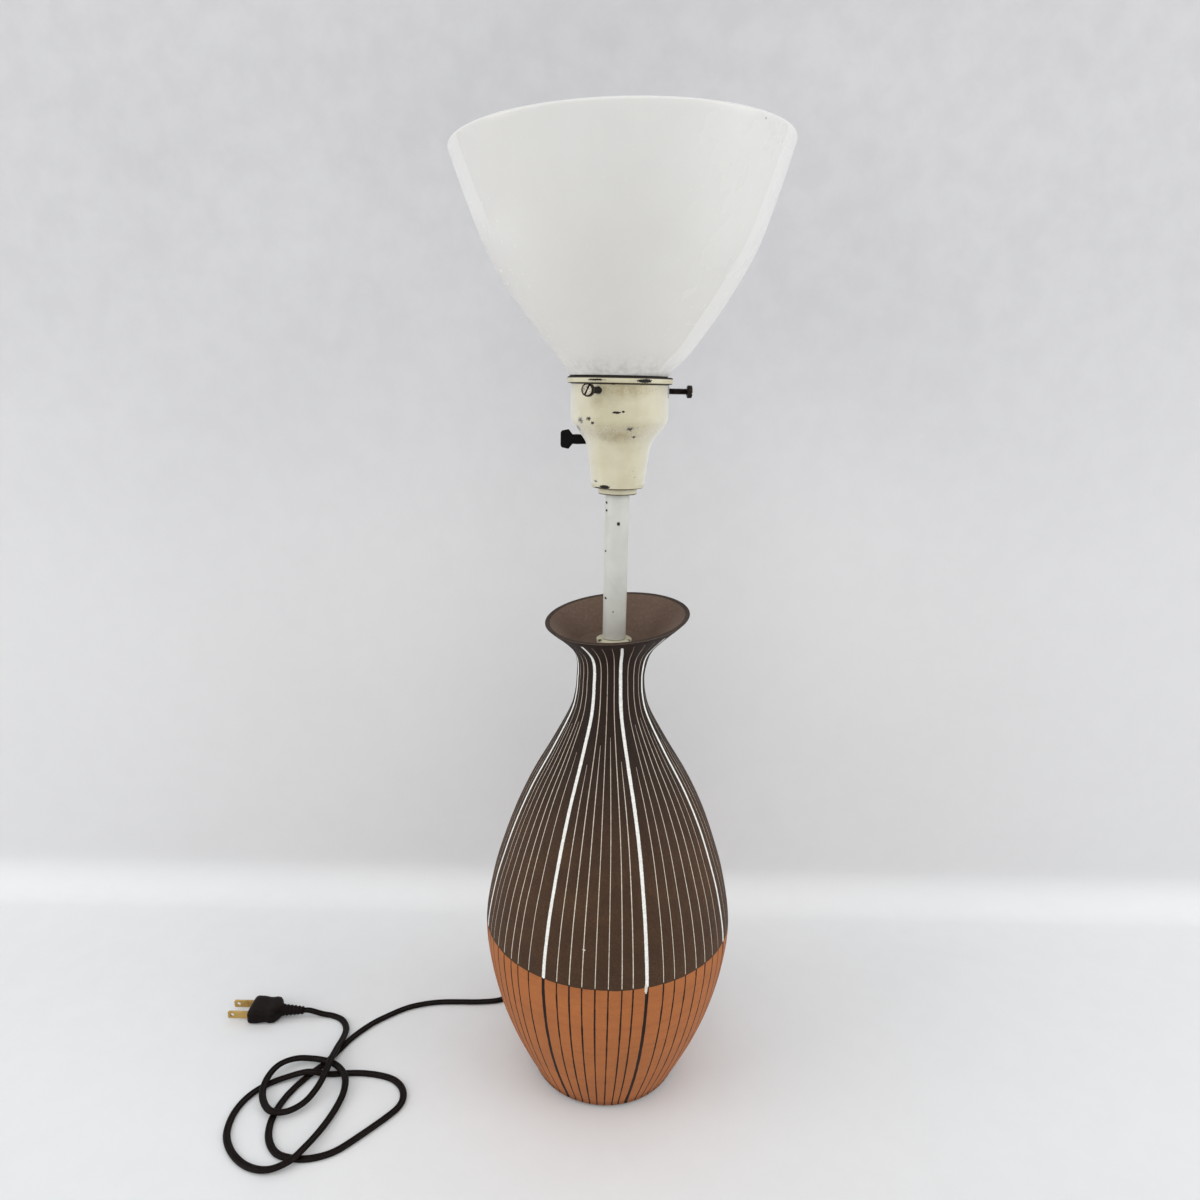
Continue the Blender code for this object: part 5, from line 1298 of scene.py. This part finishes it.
def make_glass():
    """The blown bowl with its fire-polished rim, a little askew in its fitter."""
    neck_top = (GLASS_NECK_RADIUS, GLASS_BASE + GLASS_NECK_LENGTH - GLASS_DROP)
    rim = (GLASS_RIM_RADIUS + GLASS_RIM_EXTRA, GLASS_BASE + GLASS_RIM_HEIGHT - GLASS_DROP)
    shoulder = (neck_top[0] + GLASS_SHOULDER, neck_top[1])
    bell = smooth_outline(stretch(shoulder, rim, GLASS_BELL_SHARES), GLASS_SAMPLES)
    inner = offset_inwards(bell, GLASS_WALL)
    inner_neck = GLASS_NECK_RADIUS - GLASS_WALL
    inner = [point for point in inner if point.x > inner_neck]
    rise = (bell[-1] - bell[-2]).normalized()
    side = (bell[-1] - inner[-1]) / 2
    middle = (bell[-1] + inner[-1]) / 2
    cap = [middle + side * math.cos(angle) + rise * side.length * math.sin(angle)
           for angle in (math.pi * i / RIM_CAP_STEPS for i in range(1, RIM_CAP_STEPS))]
    lower = eased([(inner_neck, neck_top[1], 0), (inner_neck, GLASS_BASE),
                   (GLASS_NECK_RADIUS, GLASS_BASE), (GLASS_NECK_RADIUS, neck_top[1], 0)],
                  GLASS_WALL / 2, closed=False)
    outline = lower[1:-1] + bell + cap + list(reversed(inner)) + [lower[1]]
    finish = opal_finish(GLASS_MARKS)
    pivot = Vector((0, 0, GLASS_BASE + GLASS_NECK_LENGTH / 2))
    tilt = (Matrix.Translation(pivot + Vector((GLASS_SHIFT, 0, GLASS_LIFT)))
            @ Matrix.Rotation(math.radians(GLASS_TILT[1]), 4, "Y")
            @ Matrix.Rotation(math.radians(GLASS_TILT[0]), 4, "X") @ Matrix.Translation(-pivot))
    glass = turned("glass_bowl_looks", outline, finish.material, GLASS_STEPS, place=tilt,
                   wobble=0.004, seed=4.0)
    cup_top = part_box("fitter_cup")[1].z
    for vertex in glass.data.vertices:
        share = (vertex.co.z - cup_top) / GLASS_LEAN_HEIGHT
        vertex.co.x += GLASS_LEAN * min(max(share, 0.0), 1.0)
    finish.find_marks(glass)
    return standing_for(glass, "glass", "opal_glass", "glass_bowl")


# Stem and fitter cup

def ring_piece(node, inner, finish, slot, ease):
    """A ring or tube that fills its node's box, with rounded edges."""
    low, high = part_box(node)
    outer = (high.x - low.x) / 2
    outline = eased([(inner, low.z), (outer, low.z), (outer, high.z), (inner, high.z)], ease)
    item = turned(node + "_looks", outline, finish, wobble=0.006)
    return standing_for(item, "lamp", slot, node)


def make_stem():
    """The tube over the pipe, the two rings that hold it, and the felt under the foot."""
    low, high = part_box("cover_tube")
    tube_radius = (high.x - low.x) / 2
    tube_finish = off_white_finish(TUBE_MARKS)
    tube = ring_piece("cover_tube", tube_radius - TUBE_WALL, tube_finish.material,
                      "off_white_paint", TUBE_WALL / 3)
    tube_finish.find_marks(tube)
    ring_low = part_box("upper_check_ring")[0].z
    # a dark line painted as shade where the upper ring sits on the tube
    ring_finish = cream_finish("ring_paint", RING_MARKS, (
        (ring_low + 0.0003, 0.0006, 0.85, RING_LINE, True),))
    lower = ring_piece("lower_check_ring", PIPE_HOLE_RADIUS, ring_finish.material, "cream_paint",
                       RING_EASE)
    ring_piece("upper_check_ring", PIPE_HOLE_RADIUS, ring_finish.material, "cream_paint",
               RING_EASE)
    ring_finish.find_marks(lower)
    low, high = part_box("felt_pad")
    reach = min(high.x, FOOT_RADIUS - FOOT_EASE)
    outline = eased([(0, low.z, 0), (reach, low.z), (reach, high.z), (0, high.z, 0)],
                    (high.z - low.z) / 3, closed=False)
    felt = turned("felt_pad_looks", rows_every(outline, ROW_STEP), felt_finish().material,
                  wobble=0.01)
    standing_for(felt, "lamp", "green_felt", "felt_pad")


def make_cup():
    """The pressed cup with its rolled bead, cut for the switch and the three screws."""
    low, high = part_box("fitter_cup")
    base, top, bead = low.z, high.z, (high.y - low.y) / 2
    bead_base = top - CUP_BEAD_THICKNESS
    shoulder, waist = base + CUP_SHOULDER_HEIGHT, base + CUP_WAIST_HEIGHT
    sheet, wall, middle, foot = CUP_SHEET, CUP_WALL_RADIUS, CUP_WAIST_RADIUS, CUP_BOTTOM_RADIUS
    hole, floor = PIPE_HOLE_RADIUS, base + sheet
    outline = eased([
        (hole, base, 0), (foot, base, sheet), (middle, waist, 6 * sheet),
        (wall, shoulder, 3.4 * sheet), (wall, bead_base, 0.4 * sheet),
        (bead, bead_base, 1.4 * sheet), (bead, top, 1.4 * sheet),
        (wall - sheet, top, 0.5 * sheet), (wall - sheet, shoulder, 3 * sheet),
        (middle - sheet, waist, 6 * sheet), (foot - sheet, floor, sheet), (hole, floor, 0)],
        0.0, steps=7)
    # two soft stain bands, then three lines of painted shade: under the bead, in the gap at its
    # top and at the cup's foot
    stains_and_shade_lines = ((shoulder - 0.0060, 0.0085, 0.36, SHOULDER_STAIN, False),
             (bead_base - 0.0030, 0.0050, 0.24, WALL_STAIN, False),
             (bead_base - 0.0001, 0.0006, 1.0, BEAD_LINE, True),
             (top - 0.0004, 0.0008, 1.0, RIM_LINE, True),
             (base + 0.0001, 0.0005, 0.9, BOTTOM_LINE, True))
    finish = cream_finish("cream_paint", CUP_MARKS, stains_and_shade_lines, CUP_SHADOW_AND_STAINS,
                          (base + 4 * SHEEN_FADE, bead_base))
    cup = turned("fitter_cup_looks", rows_every(outline, ROW_STEP), finish.material, CUP_STEPS,
                 wobble=0.012, seed=2.0)
    axis_z = middle_height("turn_knob")
    cutters = [rod_cutter(KNOB_STEM_RADIUS + HOLE_PLAY, (-foot / 2, 0, axis_z),
                          (-bead, 0, axis_z))]
    for angle in SCREW_ANGLES:
        way = Vector((math.cos(math.radians(angle)), math.sin(math.radians(angle)), 0))
        cutters.append(rod_cutter(SCREW_RADIUS + HOLE_PLAY, way * (wall - 4 * sheet) + SCREW_LEVEL,
                                  way * (wall + 4 * sheet) + SCREW_LEVEL))
    cut(cup, cutters)
    finish.find_marks(cup)
    return standing_for(cup, "lamp", "cream_paint", "fitter_cup")


# Thumb screws and turn knob

def screw_finish(name, low, high, rust_share, worn_share):
    """Bare steel that has rusted a little."""
    finish = Finish(name, metallic=0.8)
    g = finish.graph
    patches, fine, specks = finish.mottle(240.0, 3.0)
    colour = g.mix(patches * 0.6 + fine * 0.4, low, high)
    rust = finish.noise(900.0, 5.0, 0.7).rising(0.5, 0.66)
    colour = g.mix(rust * rust_share, colour, SCREW_RUST)
    worn = finish.group(WEAR, width=0.0006, amount=0.5, seed=3.0)
    finish.feed("Base Color", g.mix(worn * worn_share, colour, SCREW_BRIGHT))
    finish.feed("Roughness", (rust * 0.3 + patches * 0.1 + 0.36).clamped())
    finish.grain(scale=1600.0, depth=0.00006, wave=0.3, dents=specks * 0.4)
    return finish


def make_thumb_screws():
    """Three screws with a cut thread and a slotted head: dark rim, painted shade in the slot."""
    head_steel = screw_finish("screw_head_steel", *SCREW_HEAD_COLOURS, 0.7, 0.5).material
    shank_and_slot_shade = screw_finish("screw_shank_steel", *SCREW_SHANK_AND_SLOT_SHADE, 0.8, 0.08).material
    tip, head = GLASS_NECK_RADIUS + SCREW_TIP_GAP, CUP_WALL_RADIUS + SCREW_REACH
    end = head + SCREW_HEAD_THICKNESS
    shank = rows_every([(SCREW_RADIUS - SCREW_THREAD, tip), (SCREW_RADIUS - SCREW_THREAD, head)],
                       SCREW_PITCH / 8)
    corners = [(SCREW_RADIUS, head, 0), (SCREW_HEAD_RADIUS, head), (SCREW_HEAD_RADIUS, end),
               (SCREW_HEAD_RADIUS - SCREW_DARK_RIM, end, 0), (0, end, 0)]
    outline = [(0, tip)] + shank + eased(corners, SCREW_HEAD_THICKNESS / 5, closed=False)
    for number, angle in enumerate(SCREW_ANGLES, 1):
        screw = turned(f"thumb_screw_{number}_looks", outline, head_steel, SMALL_STEPS, HARD_ANGLE,
                       thread_depth=SCREW_THREAD, thread_pitch=SCREW_PITCH,
                       thread_start=tip + SCREW_PITCH, thread_end=head - SCREW_PITCH / 2)
        screw.data.materials.append(shank_and_slot_shade)
        for face in screw.data.polygons:
            on_rim = face.center.xy.length > SCREW_HEAD_RADIUS - SCREW_DARK_RIM
            if face.center.z < head + SCREW_DARK_RIM or on_rim:
                face.material_index = 1
        slot_turn = Matrix.Rotation(math.radians(SCREW_SLOT_TURNS[number - 1]), 4, "Z")
        slot = block_cutter((SCREW_SLOT_WIDTH, 3 * SCREW_HEAD_RADIUS, 2 * SCREW_SLOT_DEPTH),
                            Matrix.Translation((0, 0, end)) @ slot_turn)
        # the slot's faces take the dark shank steel as painted shade
        slot.data.materials.append(shank_and_slot_shade)
        cut(screw, [slot], HARD_ANGLE)
        screw.data.transform(Matrix.Translation(SCREW_LEVEL)
                             @ Matrix.Rotation(math.radians(angle), 4, "Z")
                             @ Matrix.Rotation(math.pi / 2, 4, "Y"))
        standing_for(screw, f"screw_{number}", "plated_steel", f"thumb_screw_{number}")


def make_knob():
    """The paddle: a round stem that widens to a flat blade with chamfered corners."""
    start = -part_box("turn_knob")[1].x
    stem, half = KNOB_STEM_RADIUS, KNOB_PADDLE_WIDTH / 2
    thick, end = KNOB_PADDLE_THICKNESS / 2, KNOB_STEM_END + KNOB_PADDLE_LENGTH
    wide = KNOB_STEM_END + KNOB_PADDLE_LENGTH * KNOB_WIDE_SHARE
    corner = half - KNOB_CHAMFER / 2
    shape = [(stem * 0.84, stem * 0.84, start, 2), (stem * 0.9, stem * 0.9, start + 0.0004, 2),
             (stem * 1.08, stem * 1.06, KNOB_STEM_END - 2.2 * KNOB_CHAMFER, 2),
             (stem * 1.02, stem * 0.98, KNOB_STEM_END - KNOB_CHAMFER / 2, 2.3),
             ((stem + half) / 2, stem * 0.88, (KNOB_STEM_END + wide) / 2 - KNOB_CHAMFER / 4, 4),
             (half * 0.97, thick * 1.02, wide - KNOB_EDGE, 6), (half, thick, wide + KNOB_EDGE, 7),
             (corner, thick, end - KNOB_CHAMFER * 0.55, 7),
             (corner - KNOB_CHAMFER / 2, thick * 0.97, end - KNOB_EDGE, 7),
             (corner - KNOB_CHAMFER / 2 - 0.0005, thick * 0.86, end, 6)]
    sections = [rounded_section(x, y, z, power) for x, y, z, power in shape]
    turn = (Matrix.Translation((0, 0, middle_height("turn_knob")))
            @ Matrix.Rotation(-math.pi / 2, 4, "Y"))
    knob = loft("turn_knob_looks", sections, BLACK_PHENOLIC.material, KNOB_ANGLE, turn)
    standing_for(knob, "knob", "black_phenolic", "turn_knob")


# Lamp holder and bulb

def make_socket():
    """The holder's shell and liner, cut for the switch, and its threaded contact."""
    axis_z = middle_height("turn_knob")
    for node, wall, finish, slot in (("socket_shell", SHELL_WALL, BRASS, "brass"),
                                     ("insulating_liner", LINER_WALL, FIBRE, "fibre_board")):
        low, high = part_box(node)
        outer = (high.y - low.y) / 2
        outline = eased([(outer - wall, low.z), (outer, low.z), (outer, high.z),
                         (outer - wall, high.z)], wall / 3)
        item = turned(node + "_looks", rows_every(outline, ROW_STEP), finish.material)
        cut(item, [rod_cutter(KNOB_STEM_RADIUS, (-outer / 2, 0, axis_z),
                              (-2 * outer, 0, axis_z))])
        standing_for(item, "lamp", slot, node)
    low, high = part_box("screw_shell")
    outer = (high.x - low.x) / 2 - BULB_THREAD / 2
    inner = outer - SCREW_SHELL_WALL
    outline = rows_every([(outer, low.z), (outer, high.z)], BULB_THREAD_STEP)
    outline += rows_every([(inner, high.z), (inner, low.z)], BULB_THREAD_STEP) + [(outer, low.z)]
    shell = turned("screw_shell_looks", outline, BRASS.material, thread_depth=BULB_THREAD / 2,
                   thread_pitch=BULB_PITCH, thread_start=low.z + BULB_PITCH,
                   thread_end=high.z - BULB_PITCH / 2)
    standing_for(shell, "lamp", "brass", "screw_shell")


def make_bulb():
    """The bulb: its threaded base, its contact and its hollow frosted globe."""
    low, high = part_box("bulb_base")
    outer = (high.x - low.x) / 2 - BULB_THREAD / 2
    tip_low, tip_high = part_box("bulb_tip")
    tip = (tip_high.x - tip_low.x) / 2
    inner = outer - BULB_BASE_WALL
    wall = BULB_BASE_WALL
    up = rows_every([(outer, low.z + 4 * wall), (outer, high.z)], BULB_THREAD_STEP)
    down = rows_every([(inner, high.z), (inner, low.z + 5 * wall)], BULB_THREAD_STEP)
    outline = [(0, low.z), (tip, low.z), (outer - 2 * wall, low.z + 2 * wall)]
    outline += up + down + [(tip, low.z + wall), (0, low.z + wall)]
    base = turned("bulb_base_looks", outline, ALUMINIUM.material, thread_depth=BULB_THREAD / 2,
                  thread_pitch=BULB_PITCH, thread_start=low.z + 2 * BULB_PITCH,
                  thread_end=high.z - BULB_PITCH)
    standing_for(base, "bulb", "aluminium", "bulb_base")
    outline = eased([(0, tip_low.z, 0), (tip * 0.7, tip_low.z), (tip, middle_height("bulb_tip")),
                     (tip, tip_high.z), (0, tip_high.z, 0)], tip / 4, closed=False)
    contact = turned("bulb_tip_looks", outline, SOLDER.material, TIP_STEPS)
    standing_for(contact, "bulb", "solder", "bulb_tip")
    top_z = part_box("bulb_glass")[1].z
    globe_z = top_z - BULB_RADIUS
    neck_z = (low.z + high.z) / 2
    points = [(BULB_NECK_RADIUS, neck_z), (BULB_NECK_RADIUS, high.z - BULB_WALL),
              (BULB_NECK_RADIUS * 1.04, high.z + 3 * BULB_WALL)]
    for i in range(GLOBE_POINTS):
        angle = math.radians(GLOBE_START + (90 - GLOBE_START) * i / (GLOBE_POINTS - 1))
        points.append((BULB_RADIUS * math.cos(angle), globe_z + BULB_RADIUS * math.sin(angle)))
    points[-1] = (0, top_z)
    outer = smooth_outline(points, 6)
    inner = [Vector((max(point.x - BULB_WALL, 0),
                     point.y - (BULB_WALL if point.y > globe_z else 0)))
             for point in reversed(outer)]
    inner[0].x = 0.0
    globe = turned("bulb_glass_looks", [Vector((0, neck_z))] + outer + inner[:-1]
                   + [Vector((0, neck_z + BULB_WALL))], frosted_finish().material, wobble=0.003)
    standing_for(globe, "bulb", "frosted_glass", "bulb_glass")


# Cord

def coil_points():
    """The coil's path: in on the lower layer, up a layer as it reverses, and out on the upper."""
    lower = SOLID_CORD_RADIUS + COIL_LIFT
    inner = COIL_OUTER_RADIUS - COIL_SPIRAL_TURNS * COIL_TURN_STEP
    total = 2 * COIL_SPIRAL_TURNS + COIL_CLIMB_TURNS
    count = round(total * COIL_POINTS_PER_TURN)
    points = []
    for i in range(count + 1):
        turn = total * i / count
        climb = min(max((turn - COIL_SPIRAL_TURNS) / COIL_CLIMB_TURNS, 0.0), 1.0)
        spiral = COIL_SPIRAL_TURNS - min(turn, total - turn, COIL_SPIRAL_TURNS)
        radius = inner + spiral * COIL_TURN_STEP
        rise = (1 - math.cos(math.pi * climb)) / 2
        angle = 2 * math.pi * turn
        points.append(Vector((COIL_CENTRE[0] + radius * math.cos(angle),
                              COIL_CENTRE[1] + radius * math.sin(angle),
                              lower + rise * COIL_LAYER_STEP)))
    return points


def lowered(point):
    """The height of the flat lead's middle where the round solid has the point's height."""
    share = CORD_THICKNESS / 2 / SOLID_CORD_RADIUS
    return Vector((point[0], point[1], max(point[2] * share, CORD_THICKNESS / 2)))


def cord_path():
    """The lead from inside its strain relief to inside the plug's neck."""
    relief_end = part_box("cord_bushing")[1].y
    plug_low, plug_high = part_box("plug_body")
    plug_y, plug_z = (plug_low.y + plug_high.y) / 2, middle_height("plug_body")
    straight = Vector((0.0, 2 * SOLID_CORD_RADIUS, 0.0))
    start = Vector((0.0, relief_end - CORD_IN_RELIEF, middle_height("cord_bushing")))
    way_out = start + Vector((0, CORD_IN_RELIEF, 0))
    coil = [lowered(point) for point in coil_points()]
    points = [start, way_out, way_out + straight]
    points += [Vector(point) for point in LEAD_ROUTE]
    points += [coil[0] - straight] + coil + [coil[-1] - straight]
    points += [lowered(point) for point in RUN_ROUTE]
    points += [Vector((plug_high.x + past, plug_y, plug_z))
               for past in (CORD_WIDTH, 0, -CORD_IN_RELIEF)]
    fine = catmull_rom(points, 8)
    for point in fine:
        point.z = max(point.z, CORD_THICKNESS / 2)
    return evenly_spaced(fine, CORD_STEP)


def cord_section():
    """The lead's section: two round cores joined by a thinner web, as (across, up) points."""
    radius = CORD_THICKNESS / 2
    offset = CORD_WIDTH / 2 - radius
    lobe_end = math.pi - math.asin(CORD_WEB / CORD_THICKNESS)
    section = []
    for side in (1, -1):
        for i in range(CORD_LOBE_POINTS):
            angle = lobe_end * (2 * i / (CORD_LOBE_POINTS - 1) - 1)
            section.append((side * (offset + radius * math.cos(angle)),
                            side * radius * math.sin(angle)))
    return section


def make_cord():
    """The lead's skin along its path, which is given back with it."""
    path = cord_path()
    section = cord_section()
    count = len(section)
    up = Vector((0, 0, 1))
    points, faces = [], []
    for i, point in enumerate(path):
        ahead = (path[min(i + 1, len(path) - 1)] - path[max(i - 1, 0)]).normalized()
        across = ahead.cross(up).normalized()
        lift = across.cross(ahead).normalized()
        points += [point + across * x + lift * z for x, z in section]
    for i in range(len(path) - 1):
        for k in range(count):
            a, b = i * count + k, i * count + (k + 1) % count
            faces.append((a, a + count, b + count, b))
    faces.append(tuple(range(count)))
    faces.append(tuple(reversed(range((len(path) - 1) * count, len(path) * count))))
    cord = mesh_object("cord", points, faces)
    cord.data.materials.append(VINYL.material)
    smooth(cord, ROUND_ANGLE)
    standing_for(cord, "lamp", "brown_vinyl", "cord_lead", "cord_coil", "cord_run")
    return cord, path


def make_bushing():
    """The strain relief: a flange, a ribbed and tapered sleeve and the part inside the foot."""
    low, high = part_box("cord_bushing")
    flange_radius = (high.z - low.z) / 2
    face = high.y - SLEEVE_LENGTH
    flange = face - BUSHING_FLANGE_THICKNESS
    bore, sleeve = BUSHING_BORE_RADIUS, BUSHING_HOLE_RADIUS
    corners = [(bore, low.y), (sleeve, low.y), (sleeve, flange, 0), (flange_radius, flange),
               (flange_radius, face), (SLEEVE_START_RADIUS, face)]
    step = SLEEVE_LENGTH / (2 * SLEEVE_RIBS + 1)
    for i in range(2 * SLEEVE_RIBS):
        share = (i + 1) / (2 * SLEEVE_RIBS + 1)
        radius = SLEEVE_START_RADIUS + (SLEEVE_END_RADIUS - SLEEVE_START_RADIUS) * share
        radii = (radius, radius - SLEEVE_RIB_DEPTH)
        corners += [(rib, face + step * (i + 1)) for rib in (radii if i % 2 == 0 else radii[::-1])]
    corners += [(SLEEVE_END_RADIUS, high.y), (bore, high.y)]
    turn = (Matrix.Translation((0, 0, middle_height("cord_bushing")))
            @ Matrix.Rotation(-math.pi / 2, 4, "X"))
    bushing = turned("cord_bushing_looks", eased(corners, SLEEVE_RIB_DEPTH / 3, steps=3),
                     RUBBER.material, SMALL_STEPS, place=turn)
    standing_for(bushing, "lamp", "black_rubber", "cord_bushing")


def make_tie():
    """A flat strap with round corners, closed round the coil's bundle."""
    room = SOLID_CORD_RADIUS + TIE_CLEARANCE
    inner = COIL_OUTER_RADIUS - COIL_SPIRAL_TURNS * COIL_TURN_STEP - room
    outer = COIL_OUTER_RADIUS + room
    low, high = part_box("cord_tie")
    half_x, half_z = (outer - inner) / 2 + TIE_THICKNESS, (high.z - low.z) / 2
    points = []
    strip = eased_strip(TIE_WIDTH / 2, TIE_THICKNESS / 2)
    each, count = len(strip), TIE_STEPS
    for x, z, _ in rounded_section(half_x, half_z, 0.0, 5, count):
        way = Vector((x / half_x ** 2, 0, z / half_z ** 2)).normalized()
        middle = Vector((x, 0, z)) - way * TIE_THICKNESS / 2
        points += [middle + way * across + Vector((0, along, 0)) for along, across in strip]
    faces = [(i * each + k, i * each + (k + 1) % each, ((i + 1) % count) * each + (k + 1) % each,
              ((i + 1) % count) * each + k) for i in range(count) for k in range(each)]
    tie = mesh_object("cord_tie_looks", points, faces)
    tie.data.transform(Matrix.Translation((*COIL_CENTRE, 0))
                       @ Matrix.Rotation(math.radians(TIE_ANGLE), 4, "Z")
                       @ Matrix.Translation(((inner + outer) / 2, 0, (low.z + high.z) / 2)))
    tie.data.materials.append(TIE_STRAP.material)
    smooth(tie, SMOOTH_ANGLE)
    standing_for(tie, "lamp", "tie_strap", "cord_tie")


def eased_strip(half_width, half_height):
    """A strip's section with rounded edges, as (along, across) points."""
    corners = [(-half_width, -half_height), (half_width, -half_height), (half_width, half_height),
               (-half_width, half_height)]
    return [tuple(point) for point in eased(corners, half_height * 0.8, steps=3)[:-1]]


def make_plug():
    """The plug's moulded body with its neck, and two blades with a hole near the end."""
    low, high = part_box("plug_body")
    half_y, half_z = (high.y - low.y) / 2, (high.z - low.z) / 2
    body = high.x - PLUG_NECK_LENGTH - low.x
    neck, neck_end, neck_start = PLUG_NECK_RADIUS, PLUG_NECK_END_RADIUS, body + PLUG_NECK_START
    shape = [(half_y * wide, half_z * thick, body * along, power)
             for wide, thick, along, power in PLUG_SHAPE]
    shape += [(neck * 1.25, neck * 1.1, body, 2.4), (neck, neck, neck_start, 2)]
    for i in range(2 * PLUG_NECK_RIBS):
        share = (i + 1) / (2 * PLUG_NECK_RIBS + 1)
        radius = neck + (neck_end - neck) * share
        at = neck_start + (PLUG_NECK_LENGTH - PLUG_NECK_START) * share
        radii = (radius, radius - PLUG_RIB_DEPTH)
        first, second = radii if i % 2 == 0 else radii[::-1]
        shape += [(first, first, at - PLUG_RIB_EDGE, 2), (second, second, at + PLUG_RIB_EDGE, 2)]
    shape += [(neck_end, neck_end, high.x - low.x - 0.0004, 2),
              (neck_end - 0.0004, neck_end - 0.0004, high.x - low.x, 2)]
    sections = [rounded_section(z, y, x, power) for y, z, x, power in shape]
    turn = (Matrix.Translation((low.x, (low.y + high.y) / 2, middle_height("plug_body")))
            @ Matrix.Rotation(math.pi / 2, 4, "Y"))
    plug = loft("plug_body_looks", sections, VINYL.material, SOFT_ANGLE, turn)
    cuts = []
    for number in (1, 2):
        blade_low, blade_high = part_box(f"plug_blade_{number}")
        size = blade_high - blade_low
        centre = (blade_low + blade_high) / 2
        cuts.append(block_cutter(size + Vector((HOLE_PLAY, HOLE_PLAY, HOLE_PLAY)),
                                 Matrix.Translation(centre)))
        corners = [(0, -size.z / 2, 0), (size.x, -size.z / 2), (size.x, size.z / 2),
                   (0, size.z / 2, 0)]
        side = eased(corners, size.z / 5, steps=4)[:-1]
        half = size.y / 2
        ring = [[Vector((point.x * (1 - ease_x) + ease_x * size.x / 2, y, point.y * ease_z))
                 for point in side] for y, ease_x, ease_z in
                ((-half, 0.02, 0.93), (-half * 0.7, 0.0, 1.0), (half * 0.7, 0.0, 1.0),
                 (half, 0.02, 0.93))]
        blade = loft(f"plug_blade_{number}_looks", ring, BRASS.material, BLADE_ANGLE,
                     Matrix.Translation((blade_high.x, centre.y, centre.z))
                     @ Matrix.Diagonal((-1, 1, 1, 1)))
        blade.data.flip_normals()
        hole_x = blade_low.x + BLADE_HOLE_IN
        cut(blade, [rod_cutter(BLADE_HOLE_RADIUS, (hole_x, blade_low.y - half, centre.z),
                               (hole_x, blade_high.y + half, centre.z), HOLE_STEPS)],
            BLADE_ANGLE)
        standing_for(blade, "lamp", "brass", f"plug_blade_{number}")
    cut(plug, cuts, SOFT_ANGLE)
    standing_for(plug, "lamp", "brown_vinyl", "plug_body")


# Inner pieces that keep their solids

def finish_inner_pieces():
    """Gives each solid that is still shown the finish of its record's material."""
    for finish, names in ((STEEL, ("threaded_pipe", "base_washer", "base_lock_washer",
                                   "base_hex_nut", "socket_set_screw",
                                   "neutral_terminal_screw")),
                          (BRASS, ("socket_cap", "centre_contact", "hot_terminal_screw",
                                   "switch_spindle")),
                          (BLACK_PHENOLIC, ("switch_block",)), (VINYL, ("inner_cord",)),
                          (COPPER, ("hot_conductor", "neutral_conductor"))):
        for name in names:
            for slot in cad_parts[name].material_slots:
                slot.material = finish.material


# Stage and light

def make_stage():
    """A pale sheet that lies under the lamp and sweeps up behind it, clear from its back."""
    rows = []
    for i in range(SWEEP_STEPS + 1):
        angle = math.pi / 2 * i / SWEEP_STEPS
        rows.append((SWEEP_START + SWEEP_RADIUS * math.sin(angle),
                     SWEEP_RADIUS * (1 - math.cos(angle))))
    rows = [(-STAGE_FRONT, 0.0)] + rows + [(SWEEP_START + SWEEP_RADIUS, STAGE_HEIGHT)]
    points = [(side * STAGE_HALF_WIDTH, y, z - STAGE_DROP) for y, z in rows for side in (-1, 1)]
    faces = [(2 * i, 2 * i + 1, 2 * i + 3, 2 * i + 2) for i in range(len(rows) - 1)]
    stage = mesh_object("stage", points, faces, ROUND_ANGLE)
    finish = Finish("stage_paper", roughness=0.85, specular_ior_level=0.2)
    g = finish.graph
    patches, fine, _ = finish.mottle(3.0, 41.0)
    height = g.split(finish.place)[2]
    # painted shade: the wall darker than the floor, and darker again higher up
    colour = g.mix(height.rising(0.0, 0.045), STAGE_PAPER_AND_SHADE_COLOURS[0], STAGE_PAPER_AND_SHADE_COLOURS[1])
    colour = g.mix(height.rising(0.25, 0.75), colour, STAGE_PAPER_AND_SHADE_COLOURS[3])
    finish.feed("Base Color", g.mix(patches * 0.25 + fine * 0.15, colour, STAGE_PAPER_AND_SHADE_COLOURS[2]))
    finish.grain(scale=300.0, depth=0.00005, wave=0.2)
    tree = finish.material.node_tree
    output = next(node for node in tree.nodes if node.type == "OUTPUT_MATERIAL")
    paper = output.inputs["Surface"].links[0].from_socket
    backfacing = tree.nodes.new("ShaderNodeNewGeometry").outputs["Backfacing"]
    clear = tree.nodes.new("ShaderNodeBsdfTransparent").outputs[0]
    either = tree.nodes.new("ShaderNodeMixShader")
    for source, socket in zip((backfacing, paper, clear), either.inputs):
        tree.links.new(source, socket)
    tree.links.new(either.outputs[0], output.inputs["Surface"])
    stage.data.materials.append(finish.material)


def area_light(name, place, target, size, power):
    """A soft white light that faces its target and isn't seen itself."""
    lamp = bpy.data.lights.new(name, "AREA")
    lamp.shape = "RECTANGLE"
    lamp.size, lamp.size_y = size
    lamp.energy = power
    light = bpy.data.objects.new(name, lamp)
    bpy.context.scene.collection.objects.link(light)
    light.location = place
    light.rotation_euler = (Vector(target) - Vector(place)).to_track_quat("-Z", "Y").to_euler()
    light.visible_camera = False


def make_light():
    """The four softboxes and an even white studio round them."""
    for light in LIGHTS:
        area_light(*light)
    world = bpy.data.worlds.new("studio")
    world.use_nodes = True
    background = world.node_tree.nodes["Background"]
    background.inputs["Color"].default_value = WORLD_COLOUR
    background.inputs["Strength"].default_value = WORLD_STRENGTH
    bpy.context.scene.world = world
    bpy.context.scene.view_settings.view_transform = "Standard"


make_stage()
make_light()
make_body()
make_glass()
make_stem()
make_cup()
make_thumb_screws()
make_knob()
make_socket()
make_bulb()
cord, CORD_PATH = make_cord()
make_bushing()
make_tie()
make_plug()
finish_inner_pieces()
